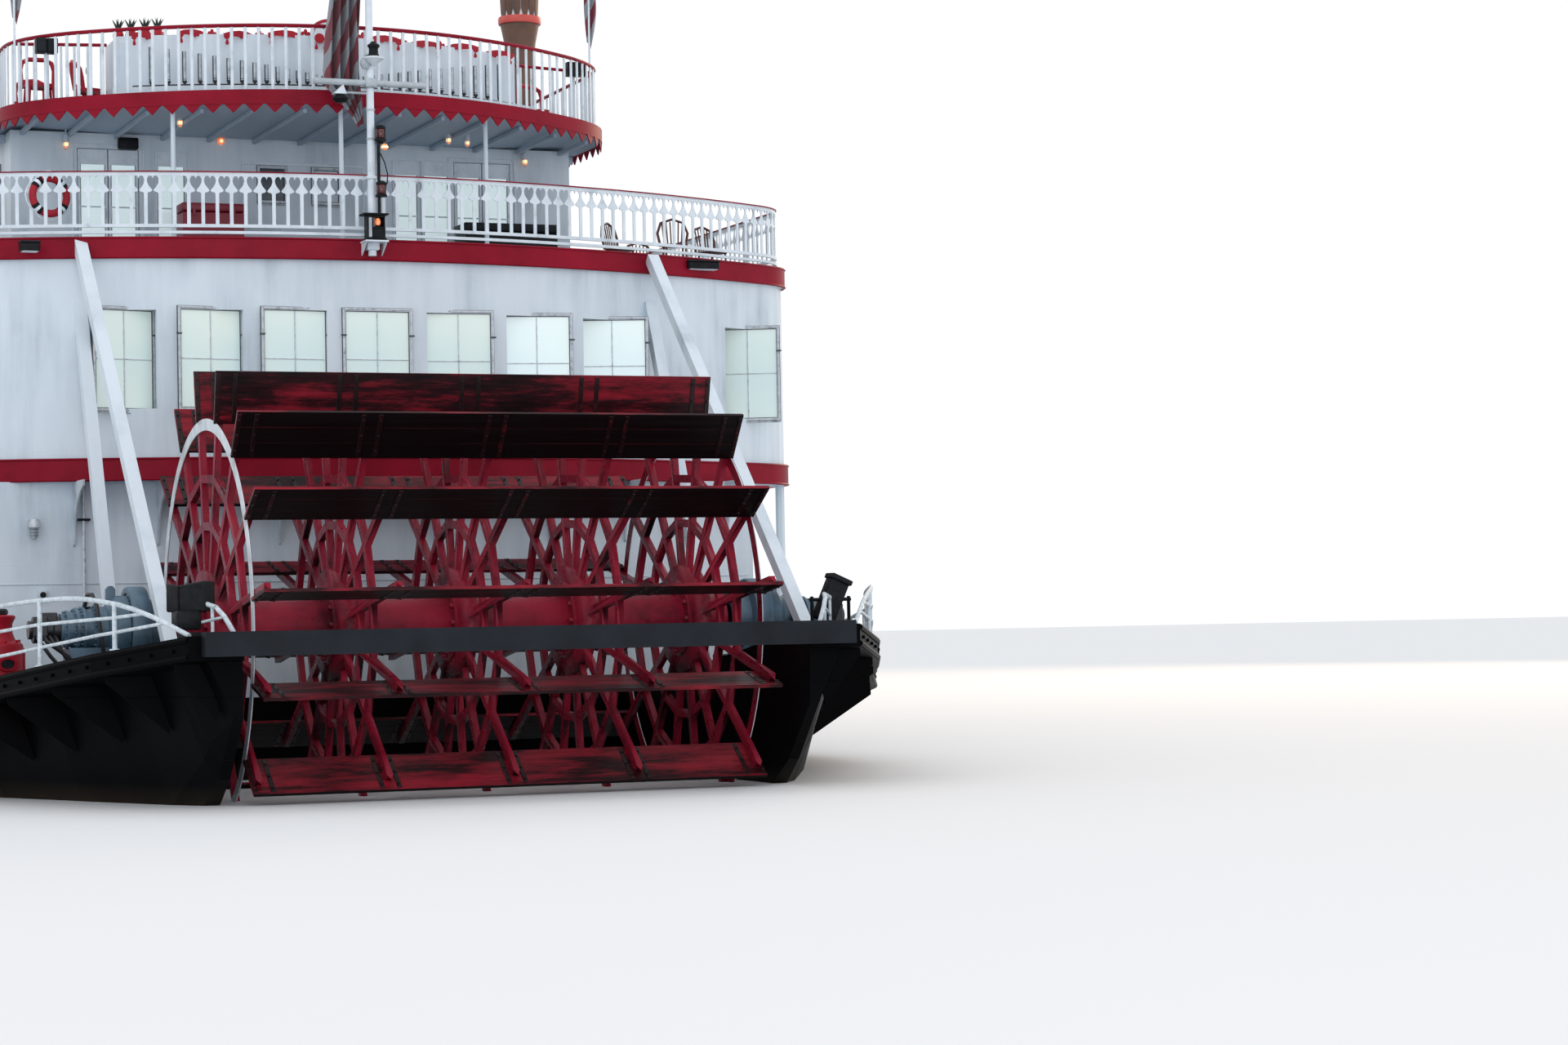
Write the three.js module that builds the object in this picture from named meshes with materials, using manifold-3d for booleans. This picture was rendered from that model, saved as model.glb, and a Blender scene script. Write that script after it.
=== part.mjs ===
// A sternwheel passenger steamer: barge hull, three decks, houses, stacks, paddle wheel and its drive.
// Sizes below are metres of the full-size boat; SCALE turns them into millimetres of the model.
// x runs forward from the paddle wheel's axis, y to port, z up from the hull's flat bottom.
import * as THREE from 'three';
import { mergeVertices } from 'three/addons/utils/BufferGeometryUtils.js';
import Module from 'manifold-3d';

const wasm = await Module();
wasm.setup();

// Driving dimensions
const SCALE = 2;
const MM = 1000 / SCALE;
const GAP = 0.3 / MM;
const STERN = -4.5;
const BOW = 55.1;
const MIDDLE = (STERN + BOW) / 2;

const FREEBOARD = 3.24;
const DECK_THICK = 0.35;
const WELL = { half: 4.35, fore: 4.8 };
const WHEEL = { z: 4.6, tip: 4.0, board: 0.81, half: 4.0, boards: 16 };
const SPOKE_Y = [-3.9, -1.95, 0, 1.95, 3.9];
const BEAM = { x0: STERN, x1: -4.2, half: 4.96, top: 4.53, deep: 0.35 };

const SECOND = { z0: 7.09, z1: 7.46, half: 8.9, aft: 4.54, fore: 44, bow: 0.0334, corner: 0.7 };
const THIRD = { z0: 10.84, z1: 11.19, half: 8.9, aft: 4.54, fore: 41, bow: 0.0334, corner: 0.7 };
const ROOF = { z0: 13.62, z1: 13.85, half: 5.6, aft: 5.2, fore: 38, bow: 0.09, corner: 0.9 };

const WALL = 0.12;
const MAIN_HOUSE = { aft: 5.7, fore: 38, half: 7.4 };
const SECOND_HOUSE = { half: 8.86, aft: 4.58, fore: 40, bow: 0.0334, corner: 0.7 };
const THIRD_HOUSE = { aft: 9.6, fore: 34, half: 5.3 };
const PILOT_HOUSE = { aft: 30, fore: 34, half: 2, z1: 16.4 };
const DOOR = { thick: 0.06, top: 2.15, clear: 0.02, edge: 0.05, pivot: 0.025 };

// Small helpers: geometries in metres, joined and cut as closed solids
function toSolid(geometry) {
  const bare = new THREE.BufferGeometry();
  bare.setAttribute('position', geometry.getAttribute('position').clone());
  bare.setIndex(geometry.getIndex());
  const merged = mergeVertices(bare, 1e-5);
  const mesh = new wasm.Mesh({
    numProp: 3,
    vertProperties: merged.getAttribute('position').array,
    triVerts: new Uint32Array(merged.getIndex().array),
  });
  return new wasm.Manifold(mesh);
}

function join(...solids) {
  return solids.reduce((whole, solid) => whole.add(solid));
}

function cut(solid, ...tools) {
  return tools.reduce((rest, tool) => rest.subtract(tool), solid);
}

function box(x0, x1, y0, y1, z0, z1) {
  const geometry = new THREE.BoxGeometry(x1 - x0, y1 - y0, z1 - z0);
  return toSolid(geometry.translate((x0 + x1) / 2, (y0 + y1) / 2, (z0 + z1) / 2));
}

function cylinder(from, to, radius, sides = 16, radiusEnd = radius) {
  const a = new THREE.Vector3(...from);
  const along = new THREE.Vector3(...to).sub(a);
  const geometry = new THREE.CylinderGeometry(radiusEnd, radius, along.length(), sides);
  geometry.translate(0, along.length() / 2, 0);
  const turn = new THREE.Quaternion();
  turn.setFromUnitVectors(new THREE.Vector3(0, 1, 0), along.clone().normalize());
  return toSolid(geometry.applyQuaternion(turn).translate(a.x, a.y, a.z));
}

// A square-section bar in a plane of constant y, from one (x, z) point to another
function bar(from, to, y, wide, deep) {
  const [x0, z0] = from;
  const [x1, z1] = to;
  const length = Math.hypot(x1 - x0, z1 - z0);
  const geometry = new THREE.BoxGeometry(length, wide, deep);
  geometry.rotateY(-Math.atan2(z1 - z0, x1 - x0));
  return toSolid(geometry.translate((x0 + x1) / 2, y, (z0 + z1) / 2));
}

// Pivots above and below a door leaf, from the sill to the lintel
function pivots(x, y, sill, lintel) {
  return cylinder([x, y, sill + GAP], [x, y, lintel - GAP], DOOR.pivot, 8);
}

function outline(points) {
  return new THREE.Shape(points.map(([a, b]) => new THREE.Vector2(a, b)));
}

// Plan shape (x, y) raised between two heights
function plate(shape, z0, z1) {
  const options = { depth: z1 - z0, bevelEnabled: false };
  return toSolid(new THREE.ExtrudeGeometry(shape, options).translate(0, 0, z0));
}

// Side shape (x, z) given a thickness from y0 to y1
function sidePlate(shape, y0, y1) {
  const options = { depth: y1 - y0, bevelEnabled: false };
  return toSolid(new THREE.ExtrudeGeometry(shape, options).rotateX(Math.PI / 2).translate(0, y1, 0));
}

// Closed body through equal rings of points, one ring for each station
function loft(rings) {
  const count = rings[0].length;
  const positions = rings.flat(2);
  const index = [];
  for (let r = 0; r < rings.length - 1; r++) {
    for (let i = 0; i < count; i++) {
      const a = r * count + i;
      const b = r * count + ((i + 1) % count);
      index.push(a, b, b + count, a, b + count, a + count);
    }
  }
  const last = (rings.length - 1) * count;
  for (let i = 1; i < count - 1; i++) {
    index.push(0, i + 1, i, last, last + i, last + i + 1);
  }
  const geometry = new THREE.BufferGeometry();
  geometry.setAttribute('position', new THREE.Float32BufferAttribute(positions, 3));
  geometry.setIndex(index);
  return toSolid(geometry);
}

// Straight lines between the rows of a table: the value of one column at x
function between(table, column, x) {
  const next = table.findIndex((row) => row[0] >= x);
  if (next === 0) return table[0][column];
  if (next < 0) return table[table.length - 1][column];
  const [a, b] = [table[next - 1], table[next]];
  return a[column] + ((b[column] - a[column]) * (x - a[0])) / (b[0] - a[0]);
}

const model = new THREE.Group();

function addNode(name, solid, colour, roughness = 0.6, metalness = 0) {
  const mesh = solid.getMesh();
  const geometry = new THREE.BufferGeometry();
  geometry.setAttribute('position', new THREE.BufferAttribute(mesh.vertProperties.slice(), 3));
  geometry.setIndex(new THREE.BufferAttribute(mesh.triVerts.slice(), 1));
  geometry.translate(-MIDDLE, 0, 0).scale(MM, MM, MM);
  geometry.computeVertexNormals();
  const node = new THREE.Mesh(geometry, new THREE.MeshStandardMaterial({ color: colour, roughness, metalness }));
  node.name = name;
  model.add(node);
}

const WHITE = 0xe6e8e6;
const RED = 0x7e1a26;
const BLACK = 0x14161a;
const GREY = 0x7c8288;
const BROWN = 0x4a2a20;
const SIDES = [['port', 1], ['stbd', -1]];

// Main deck: plan and sheer. Columns: x, half width, height of its top
const sheerAft = (x) => (x < 7 ? 1.29 * ((7 - x) / 11.6) ** 1.3 : 0);
const sheerFore = (x) => (x > 40 ? 0.8 * ((x - 40) / 12) ** 1.8 : 0);
const DECK = [
  [-4.2 + GAP, 5.15], [-3.4, 5.65], [-2.5, 6.2], [-1.2, 6.75], [0, 7.2], [2, 8.15], [4, 8.6], [6, 8.88],
  [7, 8.9], [36, 8.9], [40, 8.5], [44, 7.2], [48, 5.0], [50.6, 2.9], [52, 1.1],
].map(([x, half]) => [x, half, FREEBOARD + sheerAft(x) + sheerFore(x)]);
const deckTop = (x) => between(DECK, 2, x);
const highest = (x, reach) => Math.max(deckTop(x - reach), deckTop(x + reach));

function deckSlab(grow, thick) {
  return loft(DECK.map(([x, half, top]) => [
    [x, -half, top + grow - thick], [x, half, top + grow - thick], [x, half, top + grow], [x, -half, top + grow],
  ]));
}

// A block standing on the sheered deck between two stations, its foot following the deck
function onDeck(x0, x1, y0, y1, top) {
  const stations = [x0, ...DECK.map((row) => row[0]).filter((x) => x > x0 && x < x1), x1];
  const foot = stations.map((x) => [x, deckTop(x) + GAP]);
  return sidePlate(outline([...foot, [x1, top], [x0, top]]), y0, y1);
}

const CAPSTANS = [['port', 2.4, 6.8], ['stbd', 2.4, -6.8], ['bow', 47, 0]];
const PLINTH = { radius: 0.52, rise: 0.04 };
const plinthTop = (x) => highest(x, PLINTH.radius) + PLINTH.rise;
const plinths = CAPSTANS.map(([, x, y]) => cylinder(
  [x, y, deckTop(x) - 0.2], [x, y, plinthTop(x)], PLINTH.radius, 14,
));
const deckWell = box(STERN - 1, WELL.fore, -WELL.half, WELL.half, -1, 9);
addNode('main_deck', join(cut(deckSlab(0, DECK_THICK), deckWell), ...plinths), BLACK);
addNode('stern_beam', box(BEAM.x0, BEAM.x1, -BEAM.half, BEAM.half, BEAM.top - BEAM.deep, BEAM.top), BLACK);

// Hull: columns are x, half width at the deck, half width at the bottom, height of the bottom
const HULL = [
  [-4.1, 4.85, 4.5, 3.3], [-3.2, 5.2, 4.52, 2.4], [-2, 5.6, 4.65, 1.7], [0, 6.4, 5.4, 1.2], [2, 7.1, 6.3, 0.9],
  [4.4, 7.7, 7.1, 0.6], [8, 8.1, 7.6, 0.3], [13, 8.2, 7.8, 0], [36, 8.2, 7.8, 0], [40, 7.7, 6.8, 0],
  [44, 6.2, 4.8, 0.1], [48, 4.0, 2.4, 0.6], [50.5, 2.0, 0.8, 1.5], [51.6, 0.9, 0.3, 2.5],
];
const CHINE = 0.3;
const hullEnds = [HULL[0][0], HULL[HULL.length - 1][0]];
const deckStations = DECK.map((row) => row[0]).filter((x) => x > hullEnds[0] && x < hullEnds[1]);
const hullStations = [...new Set([...HULL.map((row) => row[0]), ...deckStations])].sort((a, b) => a - b);
const hullBody = loft(hullStations.map((x) => {
  const [top, low, z] = [1, 2, 3].map((column) => between(HULL, column, x));
  const lid = deckTop(x) - DECK_THICK - GAP;
  const side = low + (top - low) * 0.3;
  return [
    [x, -low, z], [x, low, z], [x, side, z + CHINE], [x, top, lid], [x, -top, lid], [x, -side, z + CHINE],
  ];
}));
const hullWell = box(STERN - 1, WELL.fore, -WELL.half, WELL.half, -1, 9);
const RECESS = { roof: 1.75, flat: 9.6, end: 14.4 };
const rudderRecess = sidePlate(
  outline([[0, -1], [RECESS.end + 1, -1], [RECESS.end, 0], [RECESS.flat, RECESS.roof], [0, RECESS.roof]]),
  -WELL.half, WELL.half,
);
const RUDDER = { x: 7.4, y: 2.1, z0: 0.25, z1: 1.6, aft: 1.6, fore: 0.7, thick: 0.14, stock: 0.11, reach: 2.2 };
const stockHoles = SIDES.map(([, s]) => cylinder(
  [RUDDER.x, s * RUDDER.y, 1.2], [RUDDER.x, s * RUDDER.y, RUDDER.reach + 0.1], RUDDER.stock + 0.02,
));
addNode('hull', cut(hullBody, hullWell, rudderRecess, ...stockHoles), BLACK);

for (const [side, s] of SIDES) {
  const y = s * RUDDER.y;
  const half = RUDDER.thick / 2;
  const blade = box(RUDDER.x - RUDDER.aft, RUDDER.x + RUDDER.fore, y - half, y + half, RUDDER.z0, RUDDER.z1);
  const stock = cylinder([RUDDER.x, y, RUDDER.z1 - 0.3], [RUDDER.x, y, RUDDER.reach], RUDDER.stock);
  const collar = cylinder([RUDDER.x, y, RUDDER.z1 - 0.1], [RUDDER.x, y, RECESS.roof - GAP], 0.2);
  addNode(`rudder_${side}`, join(blade, stock, collar), BLACK);
}

// Paddle wheel
const axle = (y0, y1, radius, sides) => cylinder([0, y0, WHEEL.z], [0, y1, WHEEL.z], radius, sides);
const BEARING = { y0: 4.52, y1: 5.2, half: 0.62 };
const SHAFT = { tube: 0.4, tubeHalf: BEARING.y0 - GAP, journal: 0.25, end: 5.04 };
addNode('paddle_shaft', join(
  axle(-SHAFT.tubeHalf, SHAFT.tubeHalf, SHAFT.tube, 16), axle(-SHAFT.end, SHAFT.end, SHAFT.journal, 16),
), RED);

const turned = (solid, angle) => solid
  .translate([0, 0, -WHEEL.z]).rotate([0, (angle * 180) / Math.PI, 0]).translate([0, 0, WHEEL.z]);
const BOARD_STEP = (2 * Math.PI) / WHEEL.boards;
const FIRST_BOARD = (76 * Math.PI) / 180;
const boardAngles = Array.from({ length: WHEEL.boards }, (_, k) => FIRST_BOARD - k * BOARD_STEP);

// A ring of flat bars round the axle, one bar between each pair of arms
function barRing(y, wide, outer, radial) {
  const phase = FIRST_BOARD;
  const corner = (radius, k) => [
    -radius * Math.cos(phase + k * BOARD_STEP), WHEEL.z + radius * Math.sin(phase + k * BOARD_STEP),
  ];
  const ks = boardAngles.map((_, k) => -k);
  const ring = outline(ks.map((k) => corner(outer, k)));
  ring.holes.push(outline(ks.map((k) => corner(outer - radial, k))));
  return sidePlate(ring, y - wide / 2, y + wide / 2);
}

const BRACE_RINGS = [2.38, 1.64];
const ARM = { wide: 0.1, deep: 0.12, tip: 3.97 };
function spokeWheel(y) {
  const arm = box(-ARM.tip, -0.3, y - ARM.wide / 2, y + ARM.wide / 2, WHEEL.z - ARM.deep / 2, WHEEL.z + ARM.deep / 2);
  const arms = boardAngles.map((angle) => turned(arm, angle));
  const hub = axle(y - 0.12, y + 0.12, 0.88, 16);
  const rings = BRACE_RINGS.map((radius) => barRing(y, ARM.wide, radius, 0.13));
  const bore = axle(y - 1, y + 1, SHAFT.tube + GAP, 16);
  return cut(join(hub, ...arms, ...rings), bore);
}
SPOKE_Y.forEach((y, i) => addNode(`spoke_wheel_${i + 1}`, spokeWheel(y), RED));

const BOARD_THICK = 0.05;
const board = box(
  -WHEEL.tip, -WHEEL.tip + WHEEL.board, -WHEEL.half, WHEEL.half,
  WHEEL.z - ARM.deep / 2 - GAP - BOARD_THICK, WHEEL.z - ARM.deep / 2 - GAP,
);
const endRings = [-1, 1].map((s) => barRing(s * (WHEEL.half - 0.0225), 0.045 - 2 * GAP, 3.3, 0.22));
addNode('paddle_boards', join(...boardAngles.map((angle) => turned(board, angle)), ...endRings), RED);

// Bearings and drive at each end of the shaft, on the raised after deck
for (const [side, s] of SIDES) {
  const span = (y0, y1) => (s > 0 ? [y0, y1] : [-y1, -y0]);
  const [b0, b1] = span(BEARING.y0, BEARING.y1);
  const block = onDeck(-BEARING.half, BEARING.half, b0, b1, WHEEL.z);
  const bore = axle(b0 - 1, b1 + 1, SHAFT.journal + 0.008, 16);
  addNode(`bearing_${side}`, cut(join(block, axle(b0, b1, BEARING.half, 24)), bore), GREY, 0.5, 0.4);

  const stage = (y0, y1, radius) => axle(...span(y0, y1), radius, 20);
  const foot = onDeck(-0.3, 0.3, ...span(5.3, 6.15), WHEEL.z - 0.1);
  const start = BEARING.y1 + GAP;
  addNode(`drive_${side}`, join(
    foot, stage(start, 5.55, 0.5), stage(5.5, 5.85, 0.36), stage(5.8, 6.22, 0.31), stage(6.2, 6.68, 0.22),
  ), GREY, 0.5, 0.4);
}

// Decks above: curved after and fore edges, rounded corners, straight sides
const EDGE_STEPS = 12;
const CORNER_STEPS = 3;
function deckPoints({ half, aft, fore, bow, corner }, inset = 0) {
  const side = half - inset;
  const flat = side - corner;
  const aftX = (y) => aft + inset + bow * y * y;
  const foreX = (y) => fore - inset - bow * y * y;
  const quarter = (edge, away) => {
    const curve = new THREE.QuadraticBezierCurve(
      new THREE.Vector2(edge(flat), flat), new THREE.Vector2(edge(side), side),
      new THREE.Vector2(edge(side) + away * corner, side),
    );
    return curve.getPoints(CORNER_STEPS).slice(1).map((p) => [p.x, p.y]);
  };
  const across = Array.from({ length: EDGE_STEPS + 1 }, (_, i) => flat * (1 - (2 * i) / EDGE_STEPS));
  const flip = ([x, y]) => [x, -y];
  const aftCorner = quarter(aftX, 1);
  const foreCorner = quarter(foreX, -1);
  return [
    ...across.map((y) => [aftX(y), y]), ...aftCorner.map(flip), ...foreCorner.toReversed().map(flip),
    ...across.toReversed().map((y) => [foreX(y), y]), ...foreCorner, ...aftCorner.toReversed(),
  ];
}
const deckShape = (deck, inset) => outline(deckPoints(deck, inset));

// Posts from one deck to the underside of the next, fused to the deck they hold
function posts(places, top, radius, footAt) {
  return places.map(([x, y]) => cylinder([x, y, footAt(x) + GAP], [x, y, top + 0.02], radius, 8));
}

const bothSides = (xs, y) => xs.flatMap((x) => [[x, y], [x, -y]]);
const SECOND_POSTS = [...bothSides([7.4, 13.6, 19.6, 25.6, 31.6, 37], 8.66), [42.4, 3], [42.4, -3]];
addNode('second_deck', join(
  plate(deckShape(SECOND), SECOND.z0, SECOND.z1), ...posts(SECOND_POSTS, SECOND.z0, 0.09, (x) => highest(x, 0.09)),
), RED);
addNode('third_deck', plate(deckShape(THIRD), THIRD.z0, THIRD.z1), RED);

const ROOF_POSTS = [
  [5.6, 0], [6.3, 2.8], [6.3, -2.8], [8.2, 5.2], [8.2, -5.2], [36.5, 3], [36.5, -3],
];
addNode('roof_deck', join(
  plate(deckShape(ROOF), ROOF.z0, ROOF.z1), ...posts(ROOF_POSTS, ROOF.z0, 0.07, () => THIRD.z1),
), RED);

// Braces from the after deck up to the third deck's edge and to the second house's wall
const grownThird = plate(deckShape(THIRD, -GAP), THIRD.z0 - GAP, THIRD.z1 + GAP);
const grownHouse = plate(deckShape(SECOND_HOUSE, -GAP), SECOND.z1, THIRD.z0);
const grownDeck = deckSlab(GAP, DECK_THICK + GAP);
const BRACE = 0.2;
for (const [side, y] of [['port', 4.84], ['stbd', -5.42]]) {
  const outer = bar([-1.7, 4.15], [5.4, 11.1], y, BRACE, BRACE);
  addNode(`outer_brace_${side}`, cut(outer, grownThird, grownHouse, grownDeck), WHITE);
  const inner = bar([2.55, 3.6], [5.6, 10.3], y, BRACE, BRACE);
  addNode(`inner_brace_${side}`, cut(inner, grownHouse, grownDeck), WHITE);
}

// Main-deck house: flat panels with a boarding door in each side
const BOARDING = { x0: 21, x1: 22.4, top: FREEBOARD + 2.3 };
function wallShape(x0, x1, top) {
  const stations = [x0, ...DECK.map((row) => row[0]).filter((x) => x > x0 && x < x1), x1];
  return outline([...stations.map((x) => [x, deckTop(x) + GAP]), [x1, top], [x0, top]]);
}
const mainTop = SECOND.z0 - GAP;
const mh = MAIN_HOUSE;
addNode('main_house_aft', onDeck(mh.aft, mh.aft + WALL, -mh.half, mh.half, mainTop), WHITE);
const foyer = box(30, 50, -0.9, 0.9, 0, FREEBOARD + 2.3);
addNode('main_house_fore', cut(onDeck(mh.fore - WALL, mh.fore, -mh.half, mh.half, mainTop), foyer), WHITE);
const MAIN_WINDOWS = { xs: [8, 11, 14, 17, 19.4, 24, 26.6, 29, 32, 35], wide: 1.1, z0: 4.6, z1: 5.9 };
for (const [side, s] of SIDES) {
  const [y0, y1] = s > 0 ? [mh.half - WALL, mh.half] : [-mh.half, -mh.half + WALL];
  const wall = sidePlate(wallShape(mh.aft + WALL + GAP, mh.fore - WALL - GAP, mainTop), y0, y1);
  const opening = box(BOARDING.x0, BOARDING.x1, y0 - 1, y1 + 1, 0, BOARDING.top);
  const windows = MAIN_WINDOWS.xs.map((x) => box(
    x - MAIN_WINDOWS.wide / 2, x + MAIN_WINDOWS.wide / 2, y0 - 1, y1 + 1, MAIN_WINDOWS.z0, MAIN_WINDOWS.z1,
  ));
  addNode(`main_house_${side}`, cut(wall, opening, ...windows), WHITE);
  const c = DOOR.clear;
  const [d0, d1] = s > 0 ? [y1 - DOOR.thick, y1] : [y0, y0 + DOOR.thick];
  const leaf = box(BOARDING.x0 + c, BOARDING.x1 - c, d0, d1, FREEBOARD + c, BOARDING.top - c);
  const pivot = pivots(BOARDING.x0 + DOOR.edge, (d0 + d1) / 2, FREEBOARD, BOARDING.top);
  addNode(`boarding_door_${side}`, join(leaf, pivot), RED);
}

// Second house: one curved ring, split where its panels meet
const sh = SECOND_HOUSE;
const ringZ = [SECOND.z1 + GAP, THIRD.z0 - GAP];
const secondRing = cut(plate(deckShape(sh), ...ringZ), plate(deckShape(sh, WALL), 0, 20));
const PANEL = { aft: 8.4, fore: 37 };
const everywhere = (x0, x1) => box(x0, x1, -20, 20, 0, 20);
const WINDOW = { wide: 1.15, z0: 8.3, z1: 9.97 };
const AFT_WINDOWS = [
  [7.6, 1.06], [4.165, 1.06], [2.764, 1.09], [1.356, 1.11], [-0.07, 1.13], [-1.54, 1.15], [-3.045, 1.17],
  [-4.589, 1.2], [-7.72, 1.1],
];
const aftHoles = AFT_WINDOWS.map(([y, wide]) => box(
  0, PANEL.aft, y - wide / 2, y + wide / 2, WINDOW.z0, WINDOW.z1,
));
addNode('second_house_aft', cut(secondRing.intersect(everywhere(0, PANEL.aft - GAP)), ...aftHoles), WHITE);
const foreHoles = [-5.6, -2.8, 2.8, 5.6].map((y) => box(
  PANEL.fore, 50, y - WINDOW.wide / 2, y + WINDOW.wide / 2, WINDOW.z0, WINDOW.z1,
));
foreHoles.push(box(PANEL.fore, 50, -0.9, 0.9, 0, SECOND.z1 + DOOR.top));
addNode('second_house_fore', cut(secondRing.intersect(everywhere(PANEL.fore + GAP, 50)), ...foreHoles), WHITE);
const sideXs = Array.from({ length: 14 }, (_, k) => 10 + k * 1.95);
for (const [side, s] of SIDES) {
  const half = s > 0 ? box(PANEL.aft, PANEL.fore, 0, 20, 0, 20) : box(PANEL.aft, PANEL.fore, -20, 0, 0, 20);
  const holes = sideXs.map((x) => box(
    x - WINDOW.wide / 2, x + WINDOW.wide / 2, s > 0 ? 5 : -20, s > 0 ? 20 : -5, WINDOW.z0, WINDOW.z1,
  ));
  addNode(`second_house_${side}`, cut(secondRing.intersect(half), ...holes), WHITE);
}

// Third house: flat panels, two pairs of doors in the after one
const th = THIRD_HOUSE;
const thirdZ = [THIRD.z1 + GAP, ROOF.z0 - GAP];
const DOORS = [
  { name: 'port_outer', y0: 3.55, y1: 4.11, pivot: 4.11 - DOOR.edge },
  { name: 'port_inner', y0: 2.99, y1: 3.55, pivot: 2.99 + DOOR.edge },
  { name: 'stbd_inner', y0: -3.55, y1: -2.99, pivot: -2.99 - DOOR.edge },
  { name: 'stbd_outer', y0: -4.11, y1: -3.55, pivot: -4.11 + DOOR.edge },
];
const doorTop = THIRD.z1 + DOOR.top;
const doorway = (s) => box(0, 20, s > 0 ? 2.99 : -4.11, s > 0 ? 4.11 : -2.99, 0, doorTop);
addNode('third_house_aft', cut(
  box(th.aft, th.aft + WALL, -th.half, th.half, ...thirdZ), doorway(1), doorway(-1),
  box(0, 20, 0.28, 0.75, THIRD.z1 + 1.3, THIRD.z1 + 1.9), box(0, 20, -0.75, -0.28, THIRD.z1 + 1.3, THIRD.z1 + 1.9),
), WHITE);
for (const { name, y0, y1, pivot } of DOORS) {
  const c = DOOR.clear;
  const leaf = box(th.aft, th.aft + DOOR.thick, y0 + c, y1 - c, THIRD.z1 + c, doorTop - c);
  const pane = box(0, 20, y0 + 0.14, y1 - 0.14, THIRD.z1 + 0.95, doorTop - 0.17);
  const pin = pivots(th.aft + DOOR.thick / 2, pivot, THIRD.z1, doorTop);
  addNode(`door_${name}`, join(cut(leaf, pane), pin), WHITE);
}
addNode('third_house_fore', cut(
  box(th.fore - WALL, th.fore, -th.half, th.half, ...thirdZ),
  ...[-3.2, 0, 3.2].map((y) => box(30, 40, y - 0.8, y + 0.8, THIRD.z1 + 0.9, THIRD.z1 + 1.9)),
), WHITE);
const thirdXs = Array.from({ length: 9 }, (_, k) => 11.4 + k * 2.6);
for (const [side, s] of SIDES) {
  const [y0, y1] = s > 0 ? [th.half - WALL, th.half] : [-th.half, -th.half + WALL];
  const wall = box(th.aft + WALL + GAP, th.fore - WALL - GAP, y0, y1, ...thirdZ);
  const holes = thirdXs.map((x) => box(x - 0.7, x + 0.7, y0 - 1, y1 + 1, THIRD.z1 + 0.9, THIRD.z1 + 1.9));
  addNode(`third_house_${side}`, cut(wall, ...holes), WHITE);
}

// Deck rails: a cap on posts
const RAIL = { third: 1.15, roof: 1.12, inset: 0.06, wide: 0.12, deep: 0.08 };
function railAround(deck, z, height, postXs) {
  const cap = cut(
    plate(deckShape(deck, RAIL.inset), z + height - RAIL.deep, z + height),
    plate(deckShape(deck, RAIL.inset + RAIL.wide), z + height - 1, z + height + 1),
  );
  return join(cap, ...postXs.map(([x, y]) => box(
    x - 0.045, x + 0.045, y - 0.045, y + 0.045, z + GAP, z + height - 0.02,
  )));
}
const edgeX = (deck, y, inset) => deck.aft + inset + deck.bow * y * y;
const aftPosts = (deck, ys) => ys.flatMap((y) => [y, -y]).map((y) => [edgeX(deck, y, 0.12), y]);
const thirdRailPosts = [
  ...aftPosts(THIRD, [0.9, 2.7, 4.5, 6.3, 7.9]), ...bothSides([9.5, 13, 17, 21, 25, 29, 33, 36.5], THIRD.half - 0.12),
  ...[0, 3, 6].flatMap((y) => (y ? [y, -y] : [y])).map((y) => [THIRD.fore - 0.12 - THIRD.bow * y * y, y]),
];
addNode('third_rail', railAround(THIRD, THIRD.z1, RAIL.third, thirdRailPosts), WHITE);
const roofRailPosts = [
  ...aftPosts(ROOF, [0.9, 2.7, 4.3]), ...bothSides([10, 14, 18, 22, 26, 30, 34], ROOF.half - 0.12),
  ...[0, 3].flatMap((y) => (y ? [y, -y] : [y])).map((y) => [ROOF.fore - 0.12 - ROOF.bow * y * y, y]),
];
addNode('roof_rail', railAround(ROOF, ROOF.z1, RAIL.roof, roofRailPosts), WHITE);

// Pilot house on the roof, with one door in its after wall
const ph = PILOT_HOUSE;
const pilotZ = [ROOF.z1 + GAP, ph.z1];
const pilotShell = cut(
  box(ph.aft, ph.fore, -ph.half, ph.half, ...pilotZ),
  box(ph.aft + WALL, ph.fore - WALL, -ph.half + WALL, ph.half - WALL, 0, 20),
  box(ph.aft + 0.5, ph.fore - 0.5, -9, 9, ROOF.z1 + 1.1, ROOF.z1 + 2.2),
  box(ph.fore - 1, ph.fore + 1, -ph.half + 0.4, ph.half - 0.4, ROOF.z1 + 1.1, ROOF.z1 + 2.2),
  box(ph.aft - 1, ph.aft + 1, -0.4, 0.4, 0, ROOF.z1 + 2.05),
);
addNode('pilot_house', pilotShell, WHITE);
const pilotLeaf = box(
  ph.aft, ph.aft + DOOR.thick, -0.4 + DOOR.clear, 0.4 - DOOR.clear, ROOF.z1 + DOOR.clear, ROOF.z1 + 2.05 - DOOR.clear,
);
const pilotPin = pivots(ph.aft + DOOR.thick / 2, 0.4 - DOOR.edge, ROOF.z1, ROOF.z1 + 2.05);
addNode('pilot_door', join(pilotLeaf, pilotPin), WHITE);
addNode('pilot_roof', box(
  ph.aft - 0.3, ph.fore + 0.3, -ph.half - 0.3, ph.half + 0.3, ph.z1 + GAP, ph.z1 + 0.16,
), RED);

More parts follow.
